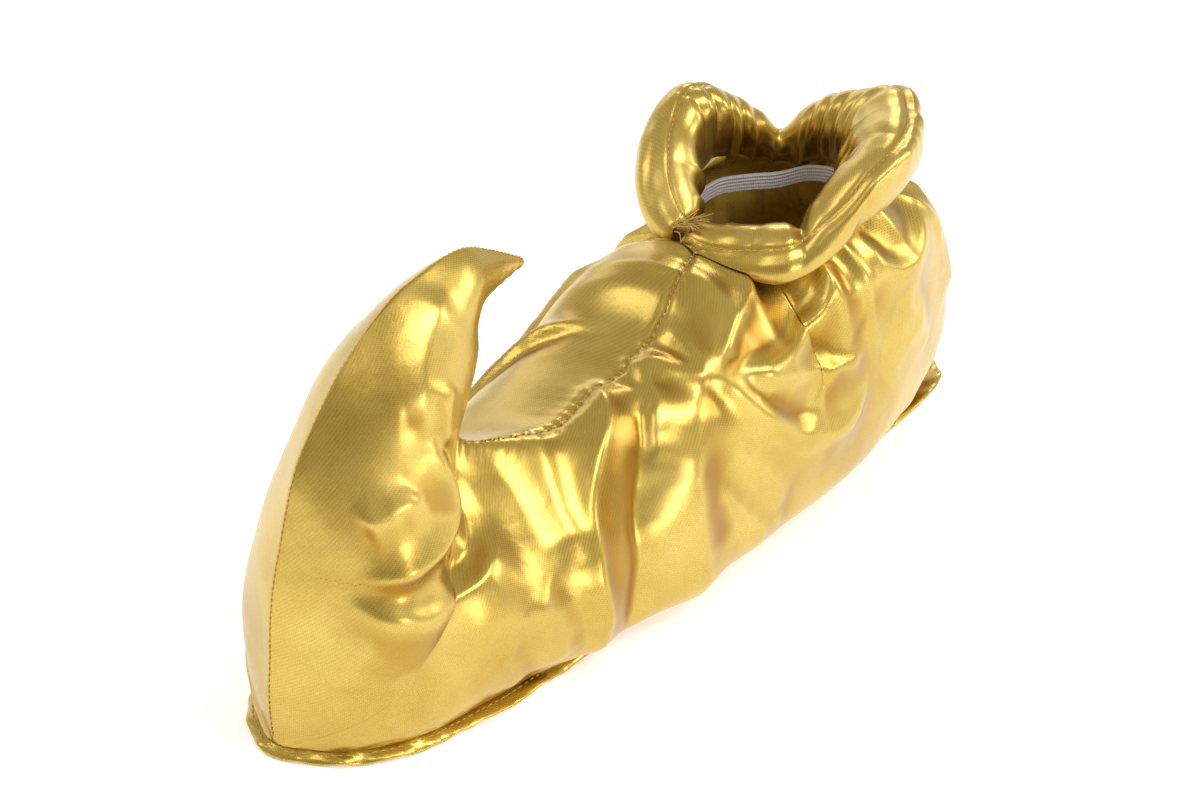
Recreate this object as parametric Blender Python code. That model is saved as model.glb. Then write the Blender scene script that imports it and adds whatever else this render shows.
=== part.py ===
"""Costume overshoe of padded gold cloth with a curled toe, a rolled collar and a sewn-on soft sole.

Metres, +Z up. The toe is at +X, the wearer's left at +Y, and the origin is on the floor under the
middle of the sole.
"""

import math
from collections import namedtuple

import bmesh
import bpy
from mathutils import Vector
from mathutils.bvhtree import BVHTree

# Driving sizes
SOLE_LENGTH = 0.348
SOLE_WIDTH = 0.073
BODY_WIDTH = 0.109
NECK_HEIGHT = 0.103
NECK_WIDTH = 0.060
TOE_HEIGHT = 0.157
WALL = 0.003
SOLE_THICKNESS = 0.004
SOLE_EDGE_ROUND = 0.0016
FLANGE_WIDTH = 0.006
FLANGE_THICKNESS = 0.0012
FLANGE_DROP = 0.0026
ROLL_RADIUS = 0.0125
ROLL_END_FULLNESS = 0.4
NOTCH_WIDTH = 0.004
ELASTIC_WIDTH = 0.0064
ELASTIC_THICKNESS = 0.001
ELASTIC_DROP = 0.0005
ELASTIC_GAP = 0.0006
ELASTIC_CHORD = 0.0246
ELASTIC_CHORD_ANGLE = math.radians(233)
SEAM_GAP = 0.0003
SEAT_GAP = 0.0011

# How the ribs and the roll are rounded
HEM_TAPER = 1.15
BOW_TAPER = 0.6

# Fineness of the meshes
RINGS_PER_RIB = 2
STEPS_PER_QUARTER = 7
ROLL_STEPS = 80
ROLL_SIDES = 18
ROLL_END_STEPS = 3
ELASTIC_STEPS = 48
HALVINGS = 30
ON_SEAM = 1e-6
SHARP_EDGE = math.radians(50)

# Each rib is a line in the side view, from the seam or neck edge above to the hem or front seam
# below it. Lengths along X are shares of SOLE_LENGTH from the heel. Heights are shares of
# NECK_HEIGHT or TOE_HEIGHT, above the hem, and so is bow, which is how far the rib curves outwards.
# Widths are shares of NECK_WIDTH, BODY_WIDTH and SOLE_WIDTH. The body is widest at that share of
# the rib from its upper end. Above that it is round at a peak of 1 and like a tent at 2, and below
# it round at a full of 2 and squarer at 3.
Rib = namedtuple("Rib", "name top_x top_z foot_x foot_z bow neck body hem widest peak full")

FOOT_RIBS = [
    Rib("heel_seam", 0.150, 1.000, 0.000, 0, 0.200, 0.000, 0.000, 0.000, 0.36, 1.00, 2.2),
    Rib("heel_turn", 0.153, 1.000, 0.011, 0, 0.200, 0.290, 0.360, 0.340, 0.36, 1.00, 2.2),
    Rib("heel_curve", 0.167, 1.000, 0.043, 0, 0.190, 0.590, 0.615, 0.530, 0.38, 1.00, 2.3),
    Rib("heel_side", 0.195, 1.000, 0.106, 0, 0.140, 0.850, 0.800, 0.670, 0.44, 1.00, 2.5),
    Rib("ankle", 0.242, 1.000, 0.181, 0, 0.070, 1.000, 0.920, 0.760, 0.54, 1.00, 3.2),
    Rib("neck_side", 0.288, 1.000, 0.250, 0, 0.020, 0.870, 0.980, 0.820, 0.62, 1.00, 4.0),
    Rib("neck_front", 0.325, 1.000, 0.313, 0, 0.000, 0.515, 1.000, 0.870, 0.66, 1.00, 4.5),
    Rib("throat", 0.338, 1.010, 0.371, 0, 0.000, 0.000, 1.000, 0.910, 0.70, 0.90, 4.5),
    Rib("vamp_top", 0.402, 1.040, 0.434, 0, 0.000, 0.000, 1.000, 0.930, 0.72, 0.80, 4.5),
    Rib("vamp_high", 0.448, 0.970, 0.486, 0, 0.000, 0.000, 0.990, 0.950, 0.72, 0.78, 4.5),
    Rib("vamp", 0.489, 0.843, 0.537, 0, 0.000, 0.000, 0.980, 0.970, 0.72, 0.76, 4.5),
    Rib("instep", 0.560, 0.739, 0.595, 0, 0.000, 0.000, 0.950, 0.985, 0.72, 0.80, 4.5),
    Rib("forefoot", 0.641, 0.705, 0.664, 0, 0.000, 0.000, 0.915, 1.000, 0.72, 1.20, 4.5),
    Rib("bend_back", 0.707, 0.735, 0.733, 0, 0.000, 0.000, 0.880, 1.000, 0.70, 2.40, 4.0),
]
TOE_RIBS = [
    Rib("bend", 0.735, 0.500, 0.813, 0.000, 0, 0, 0.850, 0.985, 0.66, 2.60, 3.3),
    Rib("toe_side", 0.745, 0.519, 0.899, 0.000, 0, 0, 0.795, 0.895, 0.61, 2.80, 3.0),
    Rib("toe_curve", 0.749, 0.532, 0.957, 0.000, 0, 0, 0.710, 0.630, 0.59, 2.80, 2.8),
    Rib("toe_turn", 0.751, 0.540, 0.987, 0.000, 0, 0, 0.667, 0.300, 0.58, 2.80, 2.7),
    Rib("toe_base", 0.752, 0.548, 1.000, 0.000, 0, 0, 0.655, 0.000, 0.58, 2.80, 2.7),
    Rib("front_low", 0.752, 0.557, 1.006, 0.119, 0, 0, 0.645, 0.000, 0.58, 2.80, 2.7),
    Rib("front_mid", 0.751, 0.570, 1.007, 0.266, 0, 0, 0.605, 0.000, 0.58, 2.60, 2.6),
    Rib("front_high", 0.748, 0.587, 1.000, 0.406, 0, 0, 0.555, 0.000, 0.57, 2.20, 2.4),
    Rib("brow", 0.744, 0.612, 0.983, 0.552, 0, 0, 0.505, 0.000, 0.56, 2.40, 2.1),
    Rib("curl", 0.739, 0.643, 0.957, 0.699, 0, 0, 0.450, 0.000, 0.54, 2.10, 1.9),
    Rib("curl_top", 0.731, 0.680, 0.914, 0.826, 0, 0, 0.385, 0.000, 0.52, 1.70, 1.8),
    Rib("crown", 0.723, 0.718, 0.856, 0.912, 0, 0, 0.310, 0.000, 0.50, 1.30, 1.8),
    Rib("crown_back", 0.715, 0.752, 0.796, 0.947, 0, 0, 0.235, 0.000, 0.50, 1.10, 1.8),
    Rib("hook", 0.703, 0.780, 0.744, 0.955, 0, 0, 0.165, 0.000, 0.50, 1.00, 1.8),
    Rib("beak", 0.686, 0.802, 0.704, 0.922, 0, 0, 0.100, 0.000, 0.50, 1.00, 1.8),
    Rib("tip", 0.667, 0.827, 0.664, 0.856, 0, 0, 0.030, 0.000, 0.50, 1.00, 1.8),
]
RIB_NAMES = [rib.name for rib in FOOT_RIBS + TOE_RIBS]
THROAT = RIB_NAMES.index("throat")
TOE_BASE = RIB_NAMES.index("toe_base")
CAVITY_END = RIB_NAMES.index("crown_back")

# The collar's roll, going round from its notch at the front seam over the wearer's left, the heel
# and the right. Angles are in degrees about the neck. Half the roll's thickness, half its height
# and how far its middle lies outside the neck's edge are shares of ROLL_RADIUS.
Lobe = namedtuple("Lobe", "angle thick tall out")
LOBES = [
    Lobe(0, 0.80, 0.90, 0.80),
    Lobe(20, 1.00, 1.00, 0.85),
    Lobe(38, 1.02, 1.00, 0.85),
    Lobe(50, 0.88, 0.88, 0.80),
    Lobe(64, 1.00, 1.02, 0.85),
    Lobe(95, 1.05, 1.05, 0.75),
    Lobe(125, 1.03, 1.12, 0.60),
    Lobe(150, 1.00, 1.28, 0.75),
    Lobe(167, 1.00, 1.36, 0.75),
    Lobe(188, 1.00, 1.30, 0.65),
    Lobe(205, 0.90, 1.00, 0.50),
    Lobe(216, 0.75, 0.55, 0.40),
    Lobe(228, 0.92, 1.05, 0.50),
    Lobe(250, 1.00, 1.25, 0.65),
    Lobe(276, 1.02, 1.32, 1.00),
    Lobe(298, 1.00, 1.25, 0.75),
    Lobe(318, 0.98, 1.15, 0.60),
    Lobe(340, 0.98, 1.06, 0.72),
    Lobe(360, 0.80, 0.90, 0.80),
]

GOLD = (0.83, 0.62, 0.17)
GOLD_ROUGHNESS = 0.32
ELASTIC_WHITE = (0.86, 0.84, 0.87)
ELASTIC_ROUGHNESS = 0.7


def cleared_scene():
    for thing in list(bpy.data.objects):
        bpy.data.objects.remove(thing)


def material(name, colour, roughness, metallic):
    made = bpy.data.materials.new(name)
    made.use_nodes = True
    shader = made.node_tree.nodes["Principled BSDF"]
    shader.inputs["Base Color"].default_value = (*colour, 1)
    shader.inputs["Roughness"].default_value = roughness
    shader.inputs["Metallic"].default_value = metallic
    return made


def node(name, mesh, finish):
    bmesh.ops.recalc_face_normals(mesh, faces=mesh.faces)
    data = bpy.data.meshes.new(name)
    mesh.to_mesh(data)
    mesh.free()
    data.shade_smooth()
    data.set_sharp_from_angle(angle=SHARP_EDGE)
    data.materials.append(finish)
    made = bpy.data.objects.new(name, data)
    bpy.context.scene.collection.objects.link(made)
    return made


def along(values, at, corner=None, odd=False):
    """A smooth curve through the values. Before the first one, and on reaching the corner, it goes
    on as its own mirror image in the centre plane, which turns the sign of an odd value."""
    side = -1 if odd else 1
    i = min(int(at), len(values) - 2)
    p1, p2 = values[i], values[i + 1]
    p0 = side * p2 if i == 0 else 2 * p1 - p2 if i == corner else values[i - 1]
    if i + 1 == corner:
        p3 = side * p1
    else:
        p3 = values[i + 2] if i + 2 < len(values) else 2 * p2 - p1
    t = at - i
    bend = 2 * p0 - 5 * p1 + 4 * p2 - p3
    twist = 3 * p1 - p0 - 3 * p2 + p3
    return 0.5 * (2 * p1 + (p2 - p0) * t + bend * t**2 + twist * t**3)


def from_heel(share):
    return (share - 0.5) * SOLE_LENGTH


def hem_height():
    return SOLE_THICKNESS + SEAM_GAP


def sized_ribs():
    """The rows of the two tables at their real sizes."""
    rows = []
    for table, height in ((FOOT_RIBS, NECK_HEIGHT), (TOE_RIBS, TOE_HEIGHT)):
        for rib in table:
            row = Rib(
                rib.name,
                from_heel(rib.top_x),
                hem_height() + rib.top_z * height,
                from_heel(rib.foot_x),
                hem_height() + rib.foot_z * height,
                rib.bow * height,
                rib.neck * NECK_WIDTH / 2,
                rib.body * BODY_WIDTH / 2,
                rib.hem * SOLE_WIDTH / 2,
                rib.widest,
                rib.peak,
                rib.full,
            )
            rows.append(row)
    return rows


COLUMNS = Rib(*zip(*sized_ribs()))


def rib_at(at):
    """The rib at a place between the rows, such as 3.5."""
    neck, hem = {"corner": THROAT}, {"corner": TOE_BASE}
    return Rib(
        None,
        along(COLUMNS.top_x, at, **neck),
        along(COLUMNS.top_z, at, **neck),
        along(COLUMNS.foot_x, at, **hem),
        along(COLUMNS.foot_z, at, **hem),
        along(COLUMNS.bow, at),
        max(along(COLUMNS.neck, at, odd=True, **neck), 0),
        max(along(COLUMNS.body, at, odd=True), 0),
        max(along(COLUMNS.hem, at, odd=True, **hem), 0),
        along(COLUMNS.widest, at),
        along(COLUMNS.peak, at),
        along(COLUMNS.full, at),
    )


def rib_points(rib):
    """The left half of the section on a rib: over the top to the widest place, then in to the hem."""
    top = Vector((rib.top_x, 0, rib.top_z))
    run = Vector((rib.foot_x, 0, rib.foot_z)) - top
    outwards = Vector((run.z, 0, -run.x)).normalized()
    points = []
    for step in range(2 * STEPS_PER_QUARTER + 1):
        angle = math.pi / 2 * step / STEPS_PER_QUARTER
        if step <= STEPS_PER_QUARTER:
            share = rib.widest * (1 - math.cos(angle))
            half = rib.neck + (rib.body - rib.neck) * math.sin(angle) ** rib.peak
        else:
            lower = math.sin(angle - math.pi / 2) ** HEM_TAPER
            share = rib.widest + (1 - rib.widest) * lower
            half = rib.hem + (rib.body - rib.hem) * (1 - lower**rib.full)
        bow = rib.bow * (4 * share * (1 - share)) ** BOW_TAPER
        place = top + run * share + outwards * bow
        points.append(Vector((place.x, half, place.z)))
    return points


def upper_rings():
    last = len(RIB_NAMES) - 1
    return [
        rib_points(rib_at(step / RINGS_PER_RIB))
        for step in range(last * RINGS_PER_RIB + 1)
    ]


def panel_surface(rings):
    """Both panels as one open sheet, welded along the centre seams. Returns the mesh and the two
    grids of its vertices, left and right."""
    mesh = bmesh.new()
    grids = []
    for side in (1, -1):
        grid = []
        for ring in rings:
            row = []
            for j, p in enumerate(ring):
                on_seam = p.y < ON_SEAM
                if side == -1 and on_seam:
                    row.append(grids[0][len(grid)][j])
                else:
                    row.append(mesh.verts.new((p.x, side * p.y if not on_seam else 0, p.z)))
            grid.append(row)
        grids.append(grid)
        for a, b in zip(grid, grid[1:]):
            for j in range(len(a) - 1):
                quad = [a[j], a[j + 1], b[j + 1], b[j]]
                if len(set(quad)) == 4 and not mesh.faces.get(quad):
                    mesh.faces.new(quad)
    tip = [*grids[0][-1], *reversed(grids[1][-1][1:-1])]
    mesh.faces.new(tip)
    bmesh.ops.recalc_face_normals(mesh, faces=mesh.faces)
    mesh.normal_update()
    return mesh, grids


def lining_point(v, rim):
    """Where the inside of the wall lies under a point of its skin. Both rims stay square: the neck's
    upright and the hem's flat."""
    place = v.co - v.normal * WALL * v.calc_shell_factor()
    if v in rim and v.co.z < hem_height() + ON_SEAM:
        return Vector((place.x, place.y, v.co.z))
    if v in rim:
        return Vector((v.co.x, v.co.y, place.z))
    return place


def build_upper(gold):
    """The padded upper: one hollow wall, open at the neck and along the hem."""
    mesh, grids = panel_surface(upper_rings())
    skin = list(mesh.faces)
    rim_edges = [edge for edge in mesh.edges if edge.is_boundary]
    rim = {v for edge in rim_edges for v in edge.verts}
    last_ring = CAVITY_END * RINGS_PER_RIB
    over_cavity = {v for grid in grids for ring in grid[: last_ring + 1] for v in ring}
    places = {v: lining_point(v, rim) for v in over_cavity}
    lining = {v: mesh.verts.new(place) for v, place in places.items()}
    for face in skin:
        if all(v in lining for v in face.verts):
            mesh.faces.new([lining[v] for v in reversed(face.verts)])
    for edge in rim_edges:
        a, b = edge.verts
        mesh.faces.new([a, b, lining[b], lining[a]])
    end = [*grids[0][last_ring], *reversed(grids[1][last_ring][1:-1])]
    mesh.faces.new([lining[v] for v in end])
    return node("upper", mesh, gold)


def neck_edge(angle):
    """A point of the neck's edge, by its angle about the neck from the front seam."""
    target = abs((angle + math.pi) % (2 * math.pi) - math.pi)
    back, front = rib_at(0).top_x, rib_at(THROAT).top_x
    middle = (back + front) / 2
    low, high = 0.0, float(THROAT)
    for _ in range(HALVINGS):
        at = (low + high) / 2
        rib = rib_at(at)
        if math.atan2(rib.neck, rib.top_x - middle) > target:
            low = at
        else:
            high = at
    rib = rib_at((low + high) / 2)
    side = 1 if (angle % (2 * math.pi)) <= math.pi else -1
    return Vector((rib.top_x, side * rib.neck, rib.top_z)), Vector((middle, 0, rib.top_z))


def lobe_at(column, degrees):
    values = [getattr(lobe, column) for lobe in LOBES]
    i = max(k for k, lobe in enumerate(LOBES[:-1]) if lobe.angle <= degrees)
    share = (degrees - LOBES[i].angle) / (LOBES[i + 1].angle - LOBES[i].angle)
    smooth = share * share * (3 - 2 * share)
    return values[i] + (values[i + 1] - values[i]) * smooth


def seat_height(surface, edge, outwards, offset):
    """How high the collar's seat is, at an offset from the neck's edge: the upper outside the edge,
    and the edge's own height inside it."""
    point = edge + outwards * offset
    hit = surface.ray_cast(Vector((point.x, point.y, 1)), Vector((0, 0, -1)))[0]
    if offset < 0 or hit is None:
        return edge.z + SEAT_GAP
    return hit.z + SEAT_GAP


def roll_section(angle, fullness, surface):
    """One section of the collar's roll. It lies on the upper, and its underside follows that."""
    degrees = math.degrees(angle)
    edge, middle = neck_edge(angle)
    outwards = (edge - middle).normalized()
    thick, tall, out = (ROLL_RADIUS * lobe_at(column, degrees) for column in ("thick", "tall", "out"))
    centre_z = seat_height(surface, edge, outwards, out) + tall
    ring = []
    for k in range(ROLL_SIDES):
        turn = 2 * math.pi * k / ROLL_SIDES
        offset = out + math.cos(turn) * thick * fullness
        point = edge + outwards * offset
        seat = seat_height(surface, edge, outwards, offset)
        point.z = max(centre_z + math.sin(turn) * tall * fullness, seat)
        ring.append(point)
    return ring


def build_collar(gold, surface):
    """The stuffed collar: one roll round the neck, its two ends meeting at the front seam."""
    edge, middle = neck_edge(0.0)
    half_notch = NOTCH_WIDTH / 2 / (edge - middle).length
    mesh = bmesh.new()
    rings = []
    for step in range(ROLL_STEPS + 1):
        angle = half_notch + (2 * math.pi - 2 * half_notch) * step / ROLL_STEPS
        to_end = min(step, ROLL_STEPS - step) / ROLL_END_STEPS
        rounding = math.sqrt(1 - (1 - min(to_end, 1)) ** 2)
        fullness = ROLL_END_FULLNESS + (1 - ROLL_END_FULLNESS) * rounding
        rings.append([mesh.verts.new(p) for p in roll_section(angle, fullness, surface)])
    for a, b in zip(rings, rings[1:]):
        for k in range(ROLL_SIDES):
            n = (k + 1) % ROLL_SIDES
            mesh.faces.new([a[k], a[n], b[n], b[k]])
    mesh.faces.new(rings[0])
    mesh.faces.new(reversed(rings[-1]))
    return node("collar", mesh, gold)


def hem_outline():
    """The hem in plan, once round from the heel along the left side."""
    left = []
    for step in range(TOE_BASE * RINGS_PER_RIB + 1):
        rib = rib_at(step / RINGS_PER_RIB)
        left.append(Vector((rib.foot_x, rib.hem, 0)))
    return left + [Vector((p.x, -p.y, 0)) for p in reversed(left[1:-1])]


def grown(outline, distance):
    """The outline moved outwards, square to itself."""
    moved = []
    count = len(outline)
    for i, p in enumerate(outline):
        run = outline[(i + 1) % count] - outline[i - 1]
        moved.append(p + Vector((-run.y, run.x, 0)).normalized() * distance)
    return moved


def build_sole(gold):
    """The padded sole with its seam flange: the two cut edges, sewn together and left standing out."""
    outline = hem_outline()
    edge_z = SOLE_THICKNESS - FLANGE_DROP
    profile = [
        (-SOLE_EDGE_ROUND, 0.0),
        (0.0, SOLE_EDGE_ROUND / 2),
        (0.0, SOLE_THICKNESS - FLANGE_THICKNESS),
        (FLANGE_WIDTH, edge_z - FLANGE_THICKNESS),
        (FLANGE_WIDTH, edge_z),
        (0.0, SOLE_THICKNESS),
    ]
    mesh = bmesh.new()
    rings = [
        [mesh.verts.new((p.x, p.y, z)) for p in grown(outline, distance)]
        for distance, z in profile
    ]
    for a, b in zip(rings, rings[1:]):
        for k in range(len(a)):
            n = (k + 1) % len(a)
            mesh.faces.new([a[k], a[n], b[n], b[k]])
    mesh.faces.new(rings[0])
    mesh.faces.new(reversed(rings[-1]))
    return node("sole", mesh, gold)


def build_elastic(white):
    """The flat elastic inside the neck. It lies along the edge, and is drawn straight across the
    back of the opening on the right."""
    mesh = bmesh.new()
    rings = []
    inset = ELASTIC_GAP + ELASTIC_THICKNESS
    for step in range(ELASTIC_STEPS):
        angle = 2 * math.pi * step / ELASTIC_STEPS
        edge, middle = neck_edge(angle)
        outwards = (edge - middle).normalized()
        reach = (edge - middle).length - inset
        facing = math.cos(angle - ELASTIC_CHORD_ANGLE)
        if facing > 0:
            reach = min(reach, ELASTIC_CHORD / facing)
        top = edge.z - ELASTIC_DROP
        section = []
        for distance, z in (
            (reach, top),
            (reach + ELASTIC_THICKNESS, top),
            (reach + ELASTIC_THICKNESS, top - ELASTIC_WIDTH),
            (reach, top - ELASTIC_WIDTH),
        ):
            place = middle + outwards * distance
            section.append(mesh.verts.new((place.x, place.y, z)))
        rings.append(section)
    for a, b in zip(rings, [*rings[1:], rings[0]]):
        for k in range(4):
            n = (k + 1) % 4
            mesh.faces.new([a[k], a[n], b[n], b[k]])
    return node("elastic", mesh, white)


def main():
    cleared_scene()
    gold = material("gold_lame", GOLD, GOLD_ROUGHNESS, 1.0)
    white = material("elastic_white", ELASTIC_WHITE, ELASTIC_ROUGHNESS, 0.0)
    upper = build_upper(gold)
    bpy.context.view_layer.update()
    surface = BVHTree.FromObject(upper, bpy.context.evaluated_depsgraph_get())
    build_collar(gold, surface)
    build_sole(gold)
    build_elastic(white)


main()
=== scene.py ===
"""Looks for the costume overshoe: creased gold lame cloth, a stuffed collar, an elastic and seams.

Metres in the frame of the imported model. The toe is at +X, the wearer's left at +Y, +Z is up.
"""

import math
from collections import namedtuple

import bpy
import numpy as np
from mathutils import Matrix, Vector
from mathutils.bvhtree import BVHTree


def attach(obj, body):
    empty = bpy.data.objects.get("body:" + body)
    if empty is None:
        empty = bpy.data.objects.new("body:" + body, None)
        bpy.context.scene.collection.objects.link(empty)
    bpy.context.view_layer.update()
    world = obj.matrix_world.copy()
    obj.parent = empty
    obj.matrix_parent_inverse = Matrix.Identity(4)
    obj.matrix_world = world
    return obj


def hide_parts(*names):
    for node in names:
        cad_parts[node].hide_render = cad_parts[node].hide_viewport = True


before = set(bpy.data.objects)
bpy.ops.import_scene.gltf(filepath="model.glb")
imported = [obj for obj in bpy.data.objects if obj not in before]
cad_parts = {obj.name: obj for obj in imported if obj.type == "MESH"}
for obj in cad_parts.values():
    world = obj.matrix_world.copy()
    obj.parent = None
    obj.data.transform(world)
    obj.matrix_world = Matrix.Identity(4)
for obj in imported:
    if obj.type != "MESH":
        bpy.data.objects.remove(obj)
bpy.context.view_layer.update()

MM = 0.001

# The sizes of the part
SOLE_LENGTH = 0.348
SOLE_WIDTH = 0.073
BODY_WIDTH = 0.109
NECK_HEIGHT = 0.103
NECK_WIDTH = 0.060
TOE_HEIGHT = 0.157
WALL = 0.003
HEM_HEIGHT = 0.0043
HEM_TAPER = 1.15
BOW_TAPER = 0.6

# A rib is a line in the side view from the seam or neck edge to the hem or front seam. Lengths along
# X are shares of SOLE_LENGTH from the heel, heights are shares of NECK_HEIGHT or TOE_HEIGHT above
# the hem, and widths are shares of NECK_WIDTH, BODY_WIDTH and SOLE_WIDTH.
Rib = namedtuple("Rib", "name top_x top_z foot_x foot_z bow neck body hem widest peak full")

FOOT_RIBS = [
    Rib("heel_seam", 0.15, 1, 0, 0, 0.2, 0, 0, 0, 0.36, 1, 2.2),
    Rib("heel_turn", 0.153, 1, 0.011, 0, 0.2, 0.29, 0.36, 0.34, 0.36, 1, 2.2),
    Rib("heel_curve", 0.167, 1, 0.043, 0, 0.19, 0.59, 0.615, 0.53, 0.38, 1, 2.3),
    Rib("heel_side", 0.195, 1, 0.106, 0, 0.14, 0.85, 0.8, 0.67, 0.44, 1, 2.5),
    Rib("ankle", 0.242, 1, 0.181, 0, 0.07, 1, 0.92, 0.76, 0.54, 1, 3.2),
    Rib("neck_side", 0.288, 1, 0.25, 0, 0.02, 0.87, 0.98, 0.82, 0.62, 1, 4),
    Rib("neck_front", 0.325, 1, 0.313, 0, 0, 0.515, 1, 0.87, 0.66, 1, 4.5),
    Rib("throat", 0.338, 0.975, 0.371, 0, 0, 0, 1, 0.91, 0.7, 0.9, 4.5),
    Rib("vamp_top", 0.402, 1, 0.434, 0, 0, 0, 1, 0.93, 0.72, 0.8, 4.5),
    Rib("vamp_high", 0.448, 0.95, 0.486, 0, 0, 0, 0.99, 0.95, 0.72, 0.78, 4.5),
    Rib("vamp", 0.489, 0.843, 0.537, 0, 0, 0, 0.98, 0.97, 0.72, 0.76, 4.5),
    Rib("instep", 0.56, 0.739, 0.595, 0, 0, 0, 0.95, 0.985, 0.72, 0.8, 4.5),
    Rib("forefoot", 0.641, 0.705, 0.664, 0, 0, 0, 0.915, 1, 0.72, 1.2, 4.5),
    Rib("bend_back", 0.707, 0.735, 0.733, 0, 0, 0, 0.88, 1, 0.7, 2.4, 4),
]
TOE_RIBS = [
    Rib("bend", 0.735, 0.5, 0.813, 0, 0, 0, 0.85, 0.985, 0.66, 2.6, 3.3),
    Rib("toe_side", 0.745, 0.519, 0.899, 0, 0, 0, 0.795, 0.895, 0.61, 2.8, 3),
    Rib("toe_curve", 0.749, 0.532, 0.957, 0, 0, 0, 0.71, 0.63, 0.59, 2.8, 2.8),
    Rib("toe_turn", 0.751, 0.54, 0.987, 0, 0, 0, 0.667, 0.3, 0.58, 2.8, 2.7),
    Rib("toe_base", 0.752, 0.548, 1, 0, 0, 0, 0.655, 0, 0.58, 2.8, 2.7),
    Rib("front_low", 0.752, 0.557, 1.006, 0.119, 0, 0, 0.645, 0, 0.58, 2.8, 2.7),
    Rib("front_mid", 0.751, 0.57, 1.007, 0.266, 0, 0, 0.605, 0, 0.58, 2.6, 2.6),
    Rib("front_high", 0.748, 0.587, 1, 0.406, 0, 0, 0.555, 0, 0.57, 2.2, 2.4),
    Rib("brow", 0.744, 0.612, 0.983, 0.552, 0, 0, 0.505, 0, 0.56, 2.4, 2.1),
    Rib("curl", 0.739, 0.643, 0.957, 0.699, 0, 0, 0.45, 0, 0.54, 2.1, 1.9),
    Rib("curl_top", 0.737, 0.683, 0.914, 0.826, 0, 0, 0.385, 0, 0.52, 1.7, 1.8),
    Rib("crown", 0.739, 0.732, 0.856, 0.912, 0, 0, 0.31, 0, 0.5, 1.3, 1.8),
    Rib("crown_back", 0.74, 0.778, 0.796, 0.95, 0, 0, 0.225, 0, 0.5, 1.1, 1.8),
    Rib("hook", 0.725, 0.815, 0.744, 0.962, 0, 0, 0.15, 0, 0.5, 1, 1.8),
    Rib("beak", 0.69, 0.83, 0.702, 0.928, 0, 0, 0.08, 0, 0.5, 1, 1.8),
    Rib("tip", 0.652, 0.842, 0.651, 0.86, 0, 0, 0.02, 0, 0.5, 1, 1.8),
]
RIB_NAMES = [rib.name for rib in FOOT_RIBS + TOE_RIBS]
LAST_RIB = len(RIB_NAMES) - 1
THROAT = RIB_NAMES.index("throat")
TOE_BASE = RIB_NAMES.index("toe_base")
CAVITY_END = RIB_NAMES.index("crown_back")

# The collar round the neck, from its notch over the wearer's left. Each section is a pillow through
# four points, as millimetres outside and above the neck's edge: its inner bulge, its crest, its
# stitched outer edge and its overhanging belly.
Lobe = namedtuple("Lobe", "angle inner crest edge belly")
LOBES = [
    Lobe(-8, (-1, 4), (4, 9), (15, 3), (16, -4)),
    Lobe(14, (-2, 4), (3, 12), (19, 2), (20, -6)),
    Lobe(30, (-2, 4), (3, 13), (20, 3), (21, -6)),
    Lobe(41, (-2, 4), (3, 13), (20, 4), (21, -6)),
    Lobe(49, (0, 3), (3, 10), (19, 7), (20, -4)),
    Lobe(58, (-3, 6), (1, 18), (20, 14), (21, 1)),
    Lobe(68, (-4, 8), (0, 27), (22, 22), (20, 6)),
    Lobe(78, (-4, 9), (-1, 33), (23, 31), (19, 11)),
    Lobe(90, (-4, 10), (-1, 36), (23, 36), (18, 15)),
    Lobe(108, (-6, 10), (-3, 38), (22, 38), (17, 16)),
    Lobe(130, (-8, 10), (-6, 39), (20, 39), (16, 13)),
    Lobe(150, (-9, 10), (-6, 40), (19, 39), (16, 11)),
    Lobe(170, (-7, 10), (-3, 40), (14, 33), (16, 9)),
    Lobe(190, (-4, 10), (0, 34), (12, 26), (14, 7)),
    Lobe(205, (-4, 8), (-1, 22), (10, 16), (12, 5)),
    Lobe(215, (-3, 5), (0, 11), (7, 9), (10, 3)),
    Lobe(226, (-4, 8), (-1, 21), (10, 15), (12, 5)),
    Lobe(242, (-5, 9), (-3, 29), (12, 24), (14, 7)),
    Lobe(265, (-4, 10), (0, 33), (11, 33), (16, 9)),
    Lobe(284, (-4, 10), (0, 33), (12, 35), (17, 12)),
    Lobe(300, (-4, 9), (-1, 28), (12, 29), (18, 8)),
    Lobe(318, (-4, 8), (-1, 22), (12, 21), (18, 1)),
    Lobe(332, (-4, 6), (0, 16), (12, 12), (18, -5)),
    Lobe(345, (-3, 4), (1, 10), (11, 6), (16, -7)),
]

# Creases of the side panels, in millimetres. Points are x and z in the side view. A crease stands
# height proud of the cloth, or lies below it where that is negative. left and right are its widths
# on those sides of its line, as seen from outside going along it. A deep one drops on its right
# into a trough of that depth, over the width steep.
Crease = namedtuple("Crease", "points height left right sharp deep steep", defaults=(1.3, 0, 2))


def trough(points, depth, left, right, sharp=1.8):
    return Crease(points, -depth, left, right, sharp)


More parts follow.
